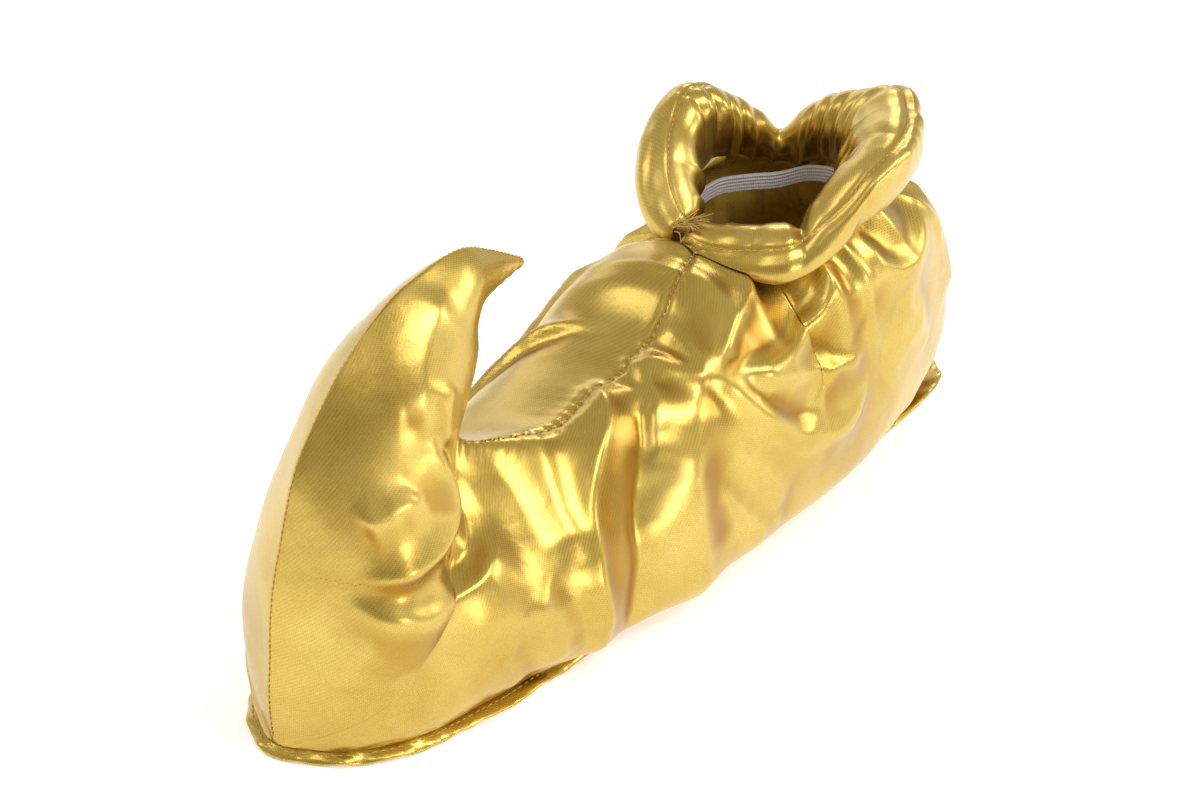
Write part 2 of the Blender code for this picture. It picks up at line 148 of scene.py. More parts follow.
NEAR_CREASES = [
    # The bend between the toe and the foot
    Crease(
        [(160, 70), (147, 70), (136, 72), (126, 75), (118, 80), (119, 90), (124, 101), (128, 114)],
        3.8, 8, 5, 1.2, 2.0, 3.6,
    ),
    trough([(108, 96), (102, 82), (101, 70), (108, 62), (120, 60), (134, 62)], 2.6, 6, 6, 1.5),
    Crease([(164, 64), (154, 58), (143, 54), (130, 52), (116, 53), (104, 58), (92, 66)], 3.8, 5, 12, 1.3),
    Crease([(156, 88), (146, 91), (134, 94)], 2.2, 5, 8, 1.4),
    Crease([(99, 149), (114, 140), (124, 128), (128, 110)], 2.2, 7, 10, 1.3),
    trough([(119, 122), (127, 118), (136, 116)], 0.8, 4, 5),
    Crease([(112, 126), (117, 116), (119, 104)], 1.6, 4, 7, 1.3),
    # The upright ridge with its dark valley
    Crease([(60, 2), (65, 20), (65, 42), (54, 62), (39, 73), (25, 80), (10, 89)], 6.2, 14, 9, 1.0),
    trough([(14, 82), (29, 69), (42, 53), (47, 30), (52, 6)], 3.4, 7, 5, 1.3),
    Crease([(70, 44), (69, 58), (64, 70), (57, 82)], 2.2, 9, 4, 1.3),
    Crease([(13, 0), (16, 22), (18, 42), (15, 60), (4, 76), (-6, 86)], 5.6, 20, 13, 1.5),
    Crease([(30, 62), (22, 72), (14, 80), (6, 90)], 2.6, 5, 6, 1.2),
    trough([(8, 64), (4, 44), (2, 24)], 1.4, 9, 9),
    # The folds that fan out from the neck
    Crease([(18, 98), (9, 90), (0, 84), (-9, 80)], 3.2, 5, 5, 1.1),
    trough([(6, 100), (0, 92), (-4, 86)], 1.8, 4, 4, 1.4),
    Crease(
        [(-84, 62), (-72, 51), (-57, 47), (-40, 52), (-23, 64), (-10, 80), (-6, 91), (-8, 103)],
        5.0, 9, 8, 1.1,
    ),
    trough([(-14, 84), (-24, 72), (-38, 62), (-52, 58)], 2.2, 4, 5, 1.4),
    Crease([(-50, 106), (-38, 101), (-26, 97), (-15, 90), (-10, 82)], 3.6, 4, 5, 1.2),
    Crease([(-10, 82), (-26, 78), (-44, 73), (-66, 69), (-82, 70)], 3.4, 5, 6, 1.1),
    Crease([(-70, 108), (-66, 94), (-56, 86), (-38, 81), (-12, 83)], 4.2, 8, 6, 1.1, 3.0, 4.2),
    trough([(-84, 96), (-82, 84), (-70, 74), (-54, 68)], 2.2, 7, 7, 1.5),
    Crease([(-92, 104), (-84, 88), (-70, 76), (-50, 62), (-34, 46)], 2.4, 8, 8, 1.2),
    Crease([(-124, 107), (-117, 94), (-104, 90), (-90, 95), (-82, 109)], 3.4, 9, 8, 1.2, 2.2, 4.5),
    Crease([(-156, 56), (-143, 82), (-131, 98), (-127, 113)], 3.8, 6, 8, 1.15, 2.8, 4.0),
    Crease([(-124, 76), (-108, 63), (-90, 53)], 1.8, 8, 8, 1.4),
    Crease([(-98, 82), (-112, 68), (-130, 50)], 2.2, 7, 9, 1.3),
    Crease([(-150, 40), (-136, 30), (-116, 24)], 1.2, 6, 8, 1.4),
    # The lower side
    Crease([(6, 52), (-4, 38), (-16, 22), (-22, 12)], 1.7, 3, 6, 1.1),
    Crease([(-6, 30), (-18, 24), (-34, 24)], 1.2, 5, 6, 1.2),
    Crease([(-6, 62), (-17, 46), (-31, 26)], 1.4, 8, 8, 1.5),
    Crease([(98, 44), (88, 30), (84, 10)], 1.6, 7, 7, 1.4),
    trough([(86, 46), (76, 30), (72, 10)], 1.4, 6, 6),
    Crease([(112, 34), (103, 20), (100, 6)], 1.0, 6, 6, 1.4),
    trough([(108, 32), (98, 16), (94, 4)], 1.0, 5, 5),
    Crease([(150, 36), (147, 24), (149, 12)], 0.7, 4, 5, 1.3),
    Crease([(158, 50), (164, 40), (166, 30)], 0.7, 5, 5, 1.3),
]
FAR_CREASES = [
    Crease(
        [(124, 108), (118, 96), (113, 80), (118, 68), (136, 67), (154, 68)],
        3.0, 7, 7, 1.3, 3.0, 2.6,
    ),
    trough([(102, 84), (100, 56), (103, 28), (100, 8)], 3.0, 5, 6),
    Crease([(94, 90), (90, 60), (94, 34), (92, 10)], 2.8, 5, 5, 1.2),
    trough([(84, 80), (80, 52), (82, 30)], 2.2, 5, 5),
    Crease([(74, 76), (66, 50), (60, 30)], 2.2, 6, 6, 1.4),
    trough([(40, 62), (30, 36), (28, 16)], 2.0, 8, 7),
    Crease([(-2, 90), (12, 68), (32, 48)], 3.2, 4, 6, 1.2, 2.4, 2.4),
    Crease([(-30, 98), (-24, 78), (-4, 56), (18, 42)], 3.6, 4, 6, 1.2, 2.8, 2.4),
    trough([(-38, 98), (-34, 78), (-18, 58)], 2.8, 5, 6),
    Crease([(-56, 100), (-58, 80), (-46, 62), (-28, 50)], 3.6, 5, 5, 1.2, 2.4, 2.4),
    trough([(-68, 98), (-72, 80), (-64, 64)], 2.8, 6, 6),
    Crease([(-84, 100), (-88, 80), (-84, 60)], 3.2, 6, 5, 1.2),
    trough([(-98, 99), (-104, 82), (-102, 66)], 2.8, 5, 6),
    Crease([(-114, 102), (-126, 84), (-130, 64)], 3.2, 5, 6, 1.2, 2.0, 2.4),
    trough([(-134, 102), (-144, 84), (-148, 68)], 2.2, 5, 5),
    Crease([(110, 138), (122, 118), (128, 100)], 1.4, 8, 8, 1.6),
]

# Fineness of the meshes
SKIN_COLUMNS = 420
SKIN_ROWS = 104
LINING_ROWS = 14
ARC_SAMPLES = 240
CREASE_SAMPLES = 26
SPLINE_STEPS = 12
COLLAR_STEPS = 420
HEM_STEPS = 900
ELASTIC_STEPS = 260


def smooth(x):
    """0 to 1 with flat ends."""
    t = np.clip(x, 0.0, 1.0)
    return t * t * (3 - 2 * t)


def bell(x, power=2):
    """1 at 0, falling away on both sides."""
    return np.exp(-(np.abs(x) ** power))


def unit(vectors):
    length = np.linalg.norm(vectors, axis=-1, keepdims=True)
    return vectors / np.maximum(length, 1e-12)


def spline(p0, p1, p2, p3, t):
    """The smooth curve from p1 to p2, coming from p0 and going on to p3."""
    bend = 2 * p0 - 5 * p1 + 4 * p2 - p3
    twist = 3 * p1 - p0 - 3 * p2 + p3
    return 0.5 * (2 * p1 + (p2 - p0) * t + bend * t**2 + twist * t**3)


def run_along(line):
    """How far along a line of points each of them lies."""
    return np.concatenate([[0], np.cumsum(np.linalg.norm(np.diff(line, axis=0), axis=1))])


def sampled(line, run, where):
    """The points that lie at those distances along a line."""
    return np.stack([np.interp(where, run, column) for column in line.T], axis=1)


class Waves:
    """Smooth noise about 0, as a sum of plane waves with seeded directions."""

    def __init__(self, seed, wavelength, count=28):
        draw = np.random.default_rng(seed)
        directions = unit(draw.normal(size=(count, 3)))
        lengths = wavelength * draw.uniform(0.7, 1.5, size=(count, 1))
        self.steps = directions * 2 * math.pi / lengths
        self.starts = draw.uniform(0, 2 * math.pi, size=count)

    def at(self, points):
        total = np.zeros(points.shape[:-1])
        for step, start in zip(self.steps, self.starts):
            total += np.sin(points @ step + start)
        return total / math.sqrt(len(self.starts) / 2)


# The smooth skin


def sized(table, height):
    """The ribs as rows of their columns, with the shares turned into metres."""
    middle = [0.5, 0, 0.5, 0, 0, 0, 0, 0, 0, 0, 0]
    size = [SOLE_LENGTH, height, SOLE_LENGTH, height, height, NECK_WIDTH / 2, BODY_WIDTH / 2, SOLE_WIDTH / 2]
    start = [0, HEM_HEIGHT, 0, HEM_HEIGHT, 0, 0, 0, 0, 0, 0, 0]
    return (np.array([rib[1:] for rib in table]) - middle) * [*size, 1, 1, 1] + start


RIBS = np.concatenate([sized(FOOT_RIBS, NECK_HEIGHT), sized(TOE_RIBS, TOE_HEIGHT)])
TOP_X, TOP_Z, FOOT_X, FOOT_Z, BOW, NECK, BODY, HEM = range(8)
CORNERS = {TOP_X: THROAT, TOP_Z: THROAT, NECK: THROAT, FOOT_X: TOE_BASE, FOOT_Z: TOE_BASE, HEM: TOE_BASE}


def along(column, at):
    """A smooth curve through a column of the ribs. Before the first rib, and on reaching the
    column's corner, it goes on as its own mirror image in the centre plane."""
    values = RIBS[:, column]
    side = -1 if column in (NECK, BODY, HEM) else 1
    corner = CORNERS.get(column, -9)
    i = np.clip(at.astype(int), 0, LAST_RIB - 1)
    p1, p2 = values[i], values[i + 1]
    p0 = np.where(i == 0, side * p2, values[np.maximum(i - 1, 0)])
    p0 = np.where(i == corner, 2 * p1 - p2, p0)
    p3 = np.where(i + 2 > LAST_RIB, 2 * p2 - p1, values[np.minimum(i + 2, LAST_RIB)])
    p3 = np.where(i + 1 == corner, side * p1, p3)
    value = spline(p0, p1, p2, p3, at - i)
    return np.maximum(value, 0) if side < 0 else value


def section(at, angle):
    """Points of the left half on the ribs at (n,), for the angles (n, m) down each of them."""
    columns = [along(k, at)[:, None] for k in range(RIBS.shape[1])]
    top_x, top_z, foot_x, foot_z, bow, neck, body, hem, widest, peak, full = columns
    rise = np.clip(np.sin(angle), 0, 1)
    lower = np.clip(-np.cos(angle), 0, 1) ** HEM_TAPER
    in_upper = angle <= math.pi / 2
    share = np.where(in_upper, widest * (1 - np.cos(angle)), widest + (1 - widest) * lower)
    above = neck + (body - neck) * rise**peak
    below = hem + (body - hem) * (1 - lower**full)
    lift = bow * np.clip(4 * share * (1 - share), 0, 1) ** BOW_TAPER
    run_x, run_z = foot_x - top_x, foot_z - top_z
    length = np.hypot(run_x, run_z)
    x = top_x + run_x * share + run_z / length * lift
    z = top_z + run_z * share - run_x / length * lift
    return np.stack([x, np.where(in_upper, above, below), z], axis=-1)


def skin(at, down):
    """Points of the left half on the ribs at (n,), at the shares (m,) of their length from the top,
    with each rib's length."""
    dense = np.tile(np.linspace(0, math.pi, ARC_SAMPLES + 1), (len(at), 1))
    steps = np.linalg.norm(np.diff(section(at, dense), axis=1), axis=2)
    run = np.concatenate([np.zeros((len(at), 1)), np.cumsum(steps, axis=1)], axis=1)
    angles = np.stack([np.interp(down, r / r[-1], a) for r, a in zip(run, dense)])
    return section(at, angles), run[:, -1:]


def even_columns(count):
    """Places between the ribs whose columns lie about evenly apart on the skin."""
    fine = np.linspace(0, LAST_RIB, 1600)
    points, _ = skin(fine, np.array([0.2, 0.5, 0.8, 1.0]))
    steps = np.linalg.norm(np.diff(points, axis=0), axis=2).mean(axis=1)
    run = np.concatenate([[0], np.cumsum(steps)])
    return np.interp(np.linspace(0, run[-1], count), run, fine)


# Creases

# How many of its widths a crease reaches, the share of its length over which each end fades, how
# blunt its line is, and how sharply a deep one drops
CREASE_REACH = 3.2
CREASE_TAPER = 0.22
CREASE_BLUNT = 0.35 * MM
DROP_SHARP = 1.6


def nearest_on(points, x, z):
    """Where in the grid the point nearest to x, z in the side view is."""
    away = (points[..., 0] - x) ** 2 + (points[..., 2] - z) ** 2
    return np.unravel_index(np.argmin(away), away.shape)


def through(corners, count):
    """A smooth curve through the corners, in millimetres, as evenly spaced points in metres."""
    p = np.array([(x * MM, z * MM) for x, z in corners])
    p = np.vstack([2 * p[0] - p[1], p, 2 * p[-1] - p[-2]])
    shares = np.linspace(0, 1, SPLINE_STEPS, endpoint=False)
    out = [spline(*four, t) for four in zip(p, p[1:], p[2:], p[3:]) for t in shares]
    out = np.array([*out, p[-2]])
    run = run_along(out)
    return sampled(out, run, np.linspace(0, run[-1], count))


def beside(line, points, normals):
    """How far each point lies from the line, on which side of it, and its share of the way."""
    best = np.full(len(points), 1e9)
    side = np.zeros(len(points))
    place = np.zeros(len(points))
    for k, (start, end) in enumerate(zip(line, line[1:])):
        run = end - start
        t = np.clip((points - start) @ run / max(run @ run, 1e-15), 0, 1)
        away = points - (start + t[:, None] * run)
        distance = np.linalg.norm(away, axis=1)
        closer = distance < best
        best = np.where(closer, distance, best)
        side = np.where(closer, np.sign((np.cross(normals, run) * away).sum(axis=1)), side)
        place = np.where(closer, (k + t) / (CREASE_SAMPLES - 1), place)
    return best, side, place


def creased(points, normals, creases):
    """How far outwards the creases move each point of the grid."""
    moved = np.zeros(points.shape[:2])
    for crease in creases:
        line = np.array([points[nearest_on(points, x, z)] for x, z in through(crease.points, CREASE_SAMPLES)])
        line[1:-1] = (line[:-2] + 2 * line[1:-1] + line[2:]) / 4
        reach = CREASE_REACH * max(crease.left, crease.right) * MM
        inside = ((points > line.min(0) - reach) & (points < line.max(0) + reach)).all(axis=2)
        distance, side, place = beside(line, points[inside], normals[inside])
        taper = smooth(place / CREASE_TAPER) * smooth((1 - place) / CREASE_TAPER)
        wide = MM * (0.5 + 0.5 * taper)
        far = np.sqrt(distance**2 + CREASE_BLUNT**2) - CREASE_BLUNT
        on_left = bell(far / (crease.left * wide), crease.sharp)
        on_right = bell(far / (crease.right * wide), crease.sharp)
        if crease.deep:
            drop = bell(far / (crease.steep * wide), DROP_SHARP)
            hollow = bell(far / (crease.right * wide))
            on_right = drop * (1 + crease.deep / crease.height) - hollow * crease.deep / crease.height
        moved[inside] += crease.height * MM * taper * np.where(side > 0, on_left, on_right)
    return moved


# Meshes


def new_piece(name, vertices, faces, finish, grain=None):
    mesh = bpy.data.meshes.new(name)
    mesh.from_pydata(np.asarray(vertices), [], faces)
    mesh.validate()
    if grain is not None:
        layer = mesh.uv_layers.new(name="grain")
        loops = np.zeros(len(mesh.loops), np.int32)
        mesh.loops.foreach_get("vertex_index", loops)
        layer.uv.foreach_set("vector", np.asarray(grain, np.float32)[loops].ravel())
    mesh.shade_smooth()
    mesh.materials.append(finish)
    piece = bpy.data.objects.new(name, mesh)
    bpy.context.scene.collection.objects.link(piece)
    return piece


def shaded(piece, amounts):
    """Notes on each vertex how much painted shade darkens its colour, standing in for the shoe's own cloth
    reflected there.
    """
    layer = piece.data.attributes.new("painted_fold_shade", "FLOAT", "POINT")
    layer.data.foreach_set("value", np.clip(amounts, -1, 1).astype(np.float32))


def numbered(shape, first=0):
    """The vertex numbers of a grid."""
    return first + np.arange(shape[0] * shape[1]).reshape(shape[:2])


def grid_faces(ids, closed=False):
    """Quads of a grid of vertex numbers, without those that have shrunk away."""
    if closed:
        ids = np.concatenate([ids, ids[:, :1]], axis=1)
    quads = np.stack([ids[:-1, :-1], ids[:-1, 1:], ids[1:, 1:], ids[1:, :-1]], axis=-1)
    faces = [list(dict.fromkeys(quad)) for quad in quads.reshape(-1, 4).tolist()]
    return [face for face in faces if len(face) > 2]


def tube_faces(ids):
    """Faces round a tube of rings of vertex numbers, and one over each end."""
    return [*grid_faces(ids, closed=True), ids[0].tolist(), ids[-1][::-1].tolist()]


def turned(faces):
    """The faces as seen from their other side."""
    return [face[::-1] for face in faces]


def cloth_grain(first, second):
    """The flat coordinates of a grid whose rows and columns lie at those distances."""
    return np.stack(np.meshgrid(first, second, indexing="ij"), axis=-1).reshape(-1, 2)


# Materials


class Nodes:
    """Adds nodes to the tree of one material or world, with plain arithmetic between sockets."""

    def __init__(self, owner):
        owner.use_nodes = True
        self.owner = owner
        self.tree = owner.node_tree

    def new(self, kind, **values):
        """A new node with those values at its inputs, each a socket or a number."""
        made = self.tree.nodes.new("ShaderNode" + kind)
        for name, value in values.items():
            self.put(made.inputs[name], value)
        return made

    def put(self, socket, value):
        if isinstance(value, bpy.types.NodeSocket):
            self.tree.links.new(value, socket)
        else:
            socket.default_value = value

    def shade(self, **values):
        """Sets inputs of the material's shader, with _ for the spaces in their names."""
        for name, value in values.items():
            self.put(self.tree.nodes["Principled BSDF"].inputs[name.replace("_", " ")], value)

    def math(self, operation, *values):
        made = self.new("Math")
        made.operation = operation
        for socket, value in zip(made.inputs, values):
            self.put(socket, value)
        return made.outputs[0]

    def plus(self, a, b):
        return self.math("ADD", a, b)

    def times(self, a, b):
        return self.math("MULTIPLY", a, b)

    def wave(self, value, pitch):
        return self.math("SINE", self.times(value, 2 * math.pi / pitch))

    def noise(self, vector, scale, detail=2.0, roughness=0.5):
        made = self.new("TexNoise", Vector=vector, Scale=scale, Detail=detail, Roughness=roughness)
        return made.outputs["Fac"]

    def ramp(self, factor, stops):
        made = self.new("ValToRGB", Fac=factor)
        ramp = made.color_ramp
        while len(ramp.elements) < len(stops):
            ramp.elements.new(0.5)
        for element, (position, colour) in zip(ramp.elements, stops):
            element.position = position
            element.color = (*colour, 1)
        return made.outputs["Color"]

    def mixed(self, share, first, second, blend="MIX"):
        made = self.tree.nodes.new("ShaderNodeMix")
        made.data_type = "RGBA"
        made.blend_type = blend
        for name, value in (("Factor", share), ("A", first), ("B", second)):
            self.put(made.inputs[name], value)
        return made.outputs["Result"]

    def to_range(self, value, low, high):
        made = self.new("MapRange", Value=value)
        made.inputs["To Min"].default_value = low
        made.inputs["To Max"].default_value = high
        return made.outputs["Result"]

    def bump(self, height, distance, strength, normal=None):
        made = self.new("Bump", Height=height, Distance=distance, Strength=strength)
        if normal is not None:
            self.put(made.inputs["Normal"], normal)
        return made.outputs["Normal"]

    def place(self):
        """Object coordinates, in metres."""
        return self.new("TexCoord").outputs["Object"]

    def grain(self):
        """The cloth's own flat coordinates, in metres, as x and y."""
        made = self.new("UVMap")
        made.uv_map = "grain"
        split = self.new("SeparateXYZ")
        self.put(split.inputs[0], made.outputs["UV"])
        return split.outputs["X"], split.outputs["Y"]

    def stripes(self, x, y, turn, pitch):
        """A sine of the distance across lines that lie turned by that many degrees."""
        a, b = math.cos(math.radians(turn)), math.sin(math.radians(turn))
        return self.wave(self.plus(self.times(x, a), self.times(y, b)), pitch)


# Colours, from dark to light, with their places on the ramp
GOLDS = [(0.25, (0.47, 0.310, 0.046)), (0.5, (0.630, 0.448, 0.096)), (0.72, (0.78, 0.605, 0.190))]
# Painted shade: the dark orange mixed into the gold where the folds are marked darker
PAINTED_SHADE_GOLD = (0.36, 0.18, 0.006, 1)
THREAD_GOLDS = [(0.3, (0.46, 0.28, 0.05)), (0.7, (0.80, 0.58, 0.18))]
WHITES = [(0.3, (0.62, 0.58, 0.64)), (0.7, (0.90, 0.88, 0.92))]
FLOOR_GREYS = [(0.3, (0.86, 0.86, 0.86)), (0.7, (0.90, 0.90, 0.90))]

# Pitches of the weaves
TWILL_PITCH = 0.00105
YARN_PITCH = 0.00074
ELASTIC_CORD_PITCH = 0.00135
ELASTIC_KNIT_PITCH = 0.0008
WANDER = 0.0016


def gold_lame(name, deep=1.0, metal=0.9):
    """Foil-faced gold twill. deep scales its colours. With metal at 0 and deep above 1 it is the lining:
    painted light, lighter than the shade inside would leave it.
    """
    n = Nodes(bpy.data.materials.new(name))
    x, y = n.grain()
    place = n.place()
    wander = n.times(n.noise(place, 40, 1), WANDER)
    twill = n.stripes(n.plus(x, wander), y, 45, TWILL_PITCH)
    yarn = n.stripes(x, n.plus(y, wander), -38, YARN_PITCH)
    weave = n.plus(n.times(twill, 0.25), n.times(n.times(twill, yarn), 0.75))
    clouds = n.noise(place, 26, 3, 0.55)
    tone = n.plus(n.times(weave, 0.14), n.times(clouds, 0.62))
    tone = n.plus(tone, n.times(n.noise(place, 1900, 1), 0.3))
    golds = n.ramp(tone, [(spot, tuple(v * deep for v in colour)) for spot, colour in GOLDS])
    # The per-vertex painted shade mixes the gold towards a dark orange
    folded = n.new("Attribute")
    folded.attribute_name = "painted_fold_shade"
    soft = n.bump(n.noise(place, 48, 3), 0.0020, 0.16)
    n.shade(
        Base_Color=n.mixed(folded.outputs["Fac"], golds, PAINTED_SHADE_GOLD),
        Roughness=n.plus(n.to_range(clouds, 0.22, 0.40), n.times(weave, 0.05)),
        Normal=n.bump(n.noise(place, 170, 4, 0.6), 0.0004, 0.30, soft),
        Metallic=metal,
        Coat_Weight=0.25,
        Coat_Roughness=0.18,
        Anisotropic=0.25,
    )
    return n.owner


def thread_gold(name):
    n = Nodes(bpy.data.materials.new(name))
    twist = n.noise(n.place(), 2600)
    n.shade(
        Base_Color=n.ramp(twist, THREAD_GOLDS),
        Roughness=n.to_range(twist, 0.35, 0.55),
        Normal=n.bump(twist, 0.0002, 0.6),
        Metallic=0.4,
    )
    return n.owner


def white_elastic(name):
    n = Nodes(bpy.data.materials.new(name))
    x, y = n.grain()
    cord = n.wave(y, ELASTIC_CORD_PITCH)
    knit = n.wave(x, ELASTIC_KNIT_PITCH)
    weave = n.plus(n.times(cord, 0.7), n.times(knit, 0.3))
    fuzz = n.noise(n.place(), 900, 3)
    n.shade(
        Base_Color=n.ramp(n.plus(n.to_range(weave, 0.3, 0.6), n.times(fuzz, 0.2)), WHITES),
        Roughness=n.to_range(fuzz, 0.62, 0.8),
        Normal=n.bump(weave, 0.0003, 0.6),
        Sheen_Weight=0.2,
    )
    return n.owner


# The upper

# How far from a seam both halves lie alike, and how far from the hem the cloth lies free
SEAM_HOLD = 4 * MM
HEM_HOLD = 6 * MM
# The groove of a seam, and the puckers beside it
GROOVE_DEPTH, GROOVE_WIDTH = 1.6 * MM, 1.3 * MM
PUCKER_DEPTH, PUCKER_PITCH = 0.34 * MM, 0.7 * MM
PUCKER_START, PUCKER_END = 0.8 * MM, 3.5 * MM
# How far the gathers below the neck reach, in ribs past the throat and as a share of the way down
GATHER_DEPTH = 1.9 * MM
GATHER_RIBS = 2.5
GATHER_REACH = 0.25
# Painted shade: how much darker the cloth's colour is made where it faces the heel, faces down or lies in a
# valley, and how dark the line along a seam is
HEELWARD_SHADE, UPWARD_SHADE, VALLEY_SHADE, SEAM_SHADE = 2.1, 0.7, 0.75, 0.75
SHADE_FADE, SEAM_SHADE_WIDTH = 11 * MM, 1.1 * MM
VALLEY_PASSES = 24
# How much deeper than the wall the lining lies: everywhere, in its pleats and where it bulges
LINING_PADDING, LINING_PLEAT, LINING_BULGE = 3.5 * MM, 2.6 * MM, 5 * MM
MIRROR = np.array([1, -1, 1])


def seam_distance(points, seam):
    """How far each point of the grid lies from the nearest of the seam's points."""
    flat = points.reshape(-1, 3)
    best = np.full(len(flat), 1e9)
    for spot in seam[::2]:
        best = np.minimum(best, ((flat - spot) ** 2).sum(axis=1))
    return np.sqrt(best).reshape(points.shape[:2])


def softened(field):
    """The grid of numbers, each mixed with its neighbours."""
    padded = np.pad(field, 1, mode="edge")
    rows = (padded[:-2] + 2 * padded[1:-1] + padded[2:]) / 4
    return (rows[:, :-2] + 2 * rows[:, 1:-1] + rows[:, 2:]) / 4


def painted_shade_of(moved, points, length):
    """The painted shade of the cloth's folds: darker on slopes facing the heel and in valleys, lighter on
    slopes facing up.
    """
    wide = moved
    for _ in range(VALLEY_PASSES):
        wide = softened(wide)
    column = np.linalg.norm(np.gradient(points, axis=0), axis=2)
    heelwards = np.gradient(moved, axis=0) / np.maximum(column, 0.4 * MM)
    upwards = np.gradient(moved, axis=1) / (length / SKIN_ROWS)
    shade = HEELWARD_SHADE * heelwards - UPWARD_SHADE * upwards + VALLEY_SHADE * (wide - moved) / MM
    return np.clip(shade, -0.2, 1)


def neck_gathers(at, down, mirror):
    """Small pleats that run down from the neck's edge and fade."""
    around = np.clip(at, 0, THROAT + GATHER_RIBS)[:, None]
    phase = around * 3.1 + 1.3 * mirror + 0.8 * np.sin(around * 2.3 + mirror)
    pleat = 1 - 2 * np.abs(np.sin(phase)) ** 0.7
    return GATHER_DEPTH * pleat * bell(down / GATHER_REACH, 1.6) * smooth((THROAT - around) / GATHER_RIBS + 1)


def shoulder(at, down, mirror):
    """The cloth puffs up beside the collar, more on the near side."""

    def puff(size, rib, ribs, spot, reach):
        return size * MM * bell((at - rib) / ribs)[:, None] * bell((down - spot) / reach)

    lift = puff(9, 3.7, 1.5, 0, 0.20)
    heel = puff(4, 1.8, 1.2, 0.16, 0.13)
    out = puff(5, 3.4, 1.6, 0.2, 0.15)
    return np.stack([-heel, out, lift + 0.5 * heel], axis=-1) * (1.0 if mirror > 0 else 0.35)


# How far the instep's seam sways to the left, as millimetres along X and across
SEAM_SWAY = [(96, 0), (80, 3), (64, 8), (46, 13), (27, 10), (12, 13), (-12, 11), (-34, 4), (-55, 0)]
SWAY_WIDTH = 27


def swayed(points):
    """The points with the top of the instep moved sideways, most at its seam."""
    along_x, across = np.array(SEAM_SWAY[::-1], float).T * MM
    x, y, z = np.moveaxis(points, -1, 0) / MM
    share = bell(y / SWAY_WIDTH) * smooth((z - 40) / 30)
    # The toe's curl, over the instep, stays where it is
    share = share * (1 - smooth((z - 84) / 14) * smooth((x - 30) / 20))
    moved = points.copy()
    moved[..., 1] += np.interp(points[..., 0], along_x, across) * share
    return moved


def grain_of(at, down, length):
    """The cloth's flat coordinates: up and down each rib from its middle, by its own length."""
    top = np.stack([along(TOP_X, at), along(TOP_Z, at)], axis=1)
    foot = np.stack([along(FOOT_X, at), along(FOOT_Z, at)], axis=1)
    up = unit(top - foot)
    middle = top * 0.45 + foot * 0.55
    return middle[:, None] + up[:, None] * ((0.5 - down)[None, :, None] * length[:, :, None])


def upper_grid():
    """The skin as cut, its outward normals, its two creased halves with their painted shade, which
    points lie on a seam or edge, and the cloth's flat coordinates."""
    at = even_columns(SKIN_COLUMNS)
    down = np.linspace(0, 1, SKIN_ROWS + 1)
    points, length = skin(at, down)
    normals = unit(np.cross(np.gradient(points, axis=0), np.gradient(points, axis=1)))
    on_front = at > TOE_BASE
    seams = np.zeros(points.shape[:2], bool)
    seams[[0, -1]] = True
    seams[at > THROAT, 0] = True
    seams[on_front, -1] = True
    points[seams, 1] = 0
    normals[seams, 1] = 0
    normals = unit(normals)
    away = seam_distance(points, points[seams])
    waves = Waves(11, 0.040).at(points) * 0.25 * MM + Waves(12, 0.014).at(points) * 0.05 * MM
    sides, shades = [], []
    for creases, mirror in ((NEAR_CREASES, 1), (FAR_CREASES, -1)):
        moved = creased(points, normals, creases) + neck_gathers(at, down, mirror)
        moved += Waves(13, 0.035).at(points * np.array([1, mirror, 1])) * 0.2 * MM
        moved = softened(moved)
        # Painted shade in the folds, fading out near the seams, and a darker line along each seam
        shade = painted_shade_of(moved, points, length) * (1 - bell(away / SHADE_FADE))
        shades.append(shade + SEAM_SHADE * bell(away / SEAM_SHADE_WIDTH))
        sides.append(moved + waves)
    hold = bell(away / SEAM_HOLD)
    groove = -GROOVE_DEPTH * bell(away / GROOVE_WIDTH, 1.4)
    pucker = np.sin(Waves(14, 0.05).at(points) * 2 + (points[..., 0] + points[..., 2]) / PUCKER_PITCH)
    groove += PUCKER_DEPTH * pucker * bell(away / PUCKER_END, 1) * (1 - bell(away / PUCKER_START, 1))
    free = smooth((1 - down) * length / HEM_HOLD)
    free[on_front] = 1
    middle = (sides[0] + sides[1]) / 2 * hold
    halves = []
    for moved, mirror in zip(sides, (1, -1)):
        moved = (moved * (1 - hold) + middle + groove) * free
        shifted = points + normals * moved[..., None] + shoulder(at, down, mirror)
        shifted[seams, 1] = 0
        shifted[..., 1] = np.maximum(shifted[..., 1], 0)
        halves.append(shifted)
    return at, down, points, normals, halves, shades, seams, grain_of(at, down, length)


def lining_points(at, down, points, normals):
    """The skin moved in by the wall and its padding, with pleats below the neck's edge."""
    around = np.clip(at, 0, THROAT)[:, None]
    pleat = np.abs(np.sin(around * 6.4 + np.sin(around * 3.1))) ** 0.7
    pleat = pleat * bell(down / 0.5) * smooth((THROAT - around) / 0.6)
    clear = smooth((down - 0.09) / 0.12) * smooth((1 - down) / 0.06)
    deep = WALL + LINING_PLEAT * pleat * clear
    deep = deep + LINING_PADDING * np.maximum(clear, smooth((around - THROAT + 0.2) / 0.2))
    deep = deep + LINING_BULGE * bell((down - 0.28) / 0.08) * smooth((THROAT - around) / 0.8)
    deep[:, 0] = WALL
    return points - normals * deep[..., None]


def both_halves(near, far, shared, flat, first):
    """Vertex numbers of the two halves of a grid, which share some points, with their vertices and
    flat coordinates."""
    left = numbered(shared.shape, first)
    right = left.copy()
    own = ~shared
    right[own] = first + left.size + np.arange(own.sum())
    vertices = np.concatenate([near.reshape(-1, 3), far[own] * MIRROR])
    return left, right, vertices, np.concatenate([flat.reshape(-1, 2), flat[own]])


def closing(left, right):
    """One face between the last rows of two halves."""
    return list(dict.fromkeys([*left[-1].tolist(), *right[-1][::-1].tolist()]))


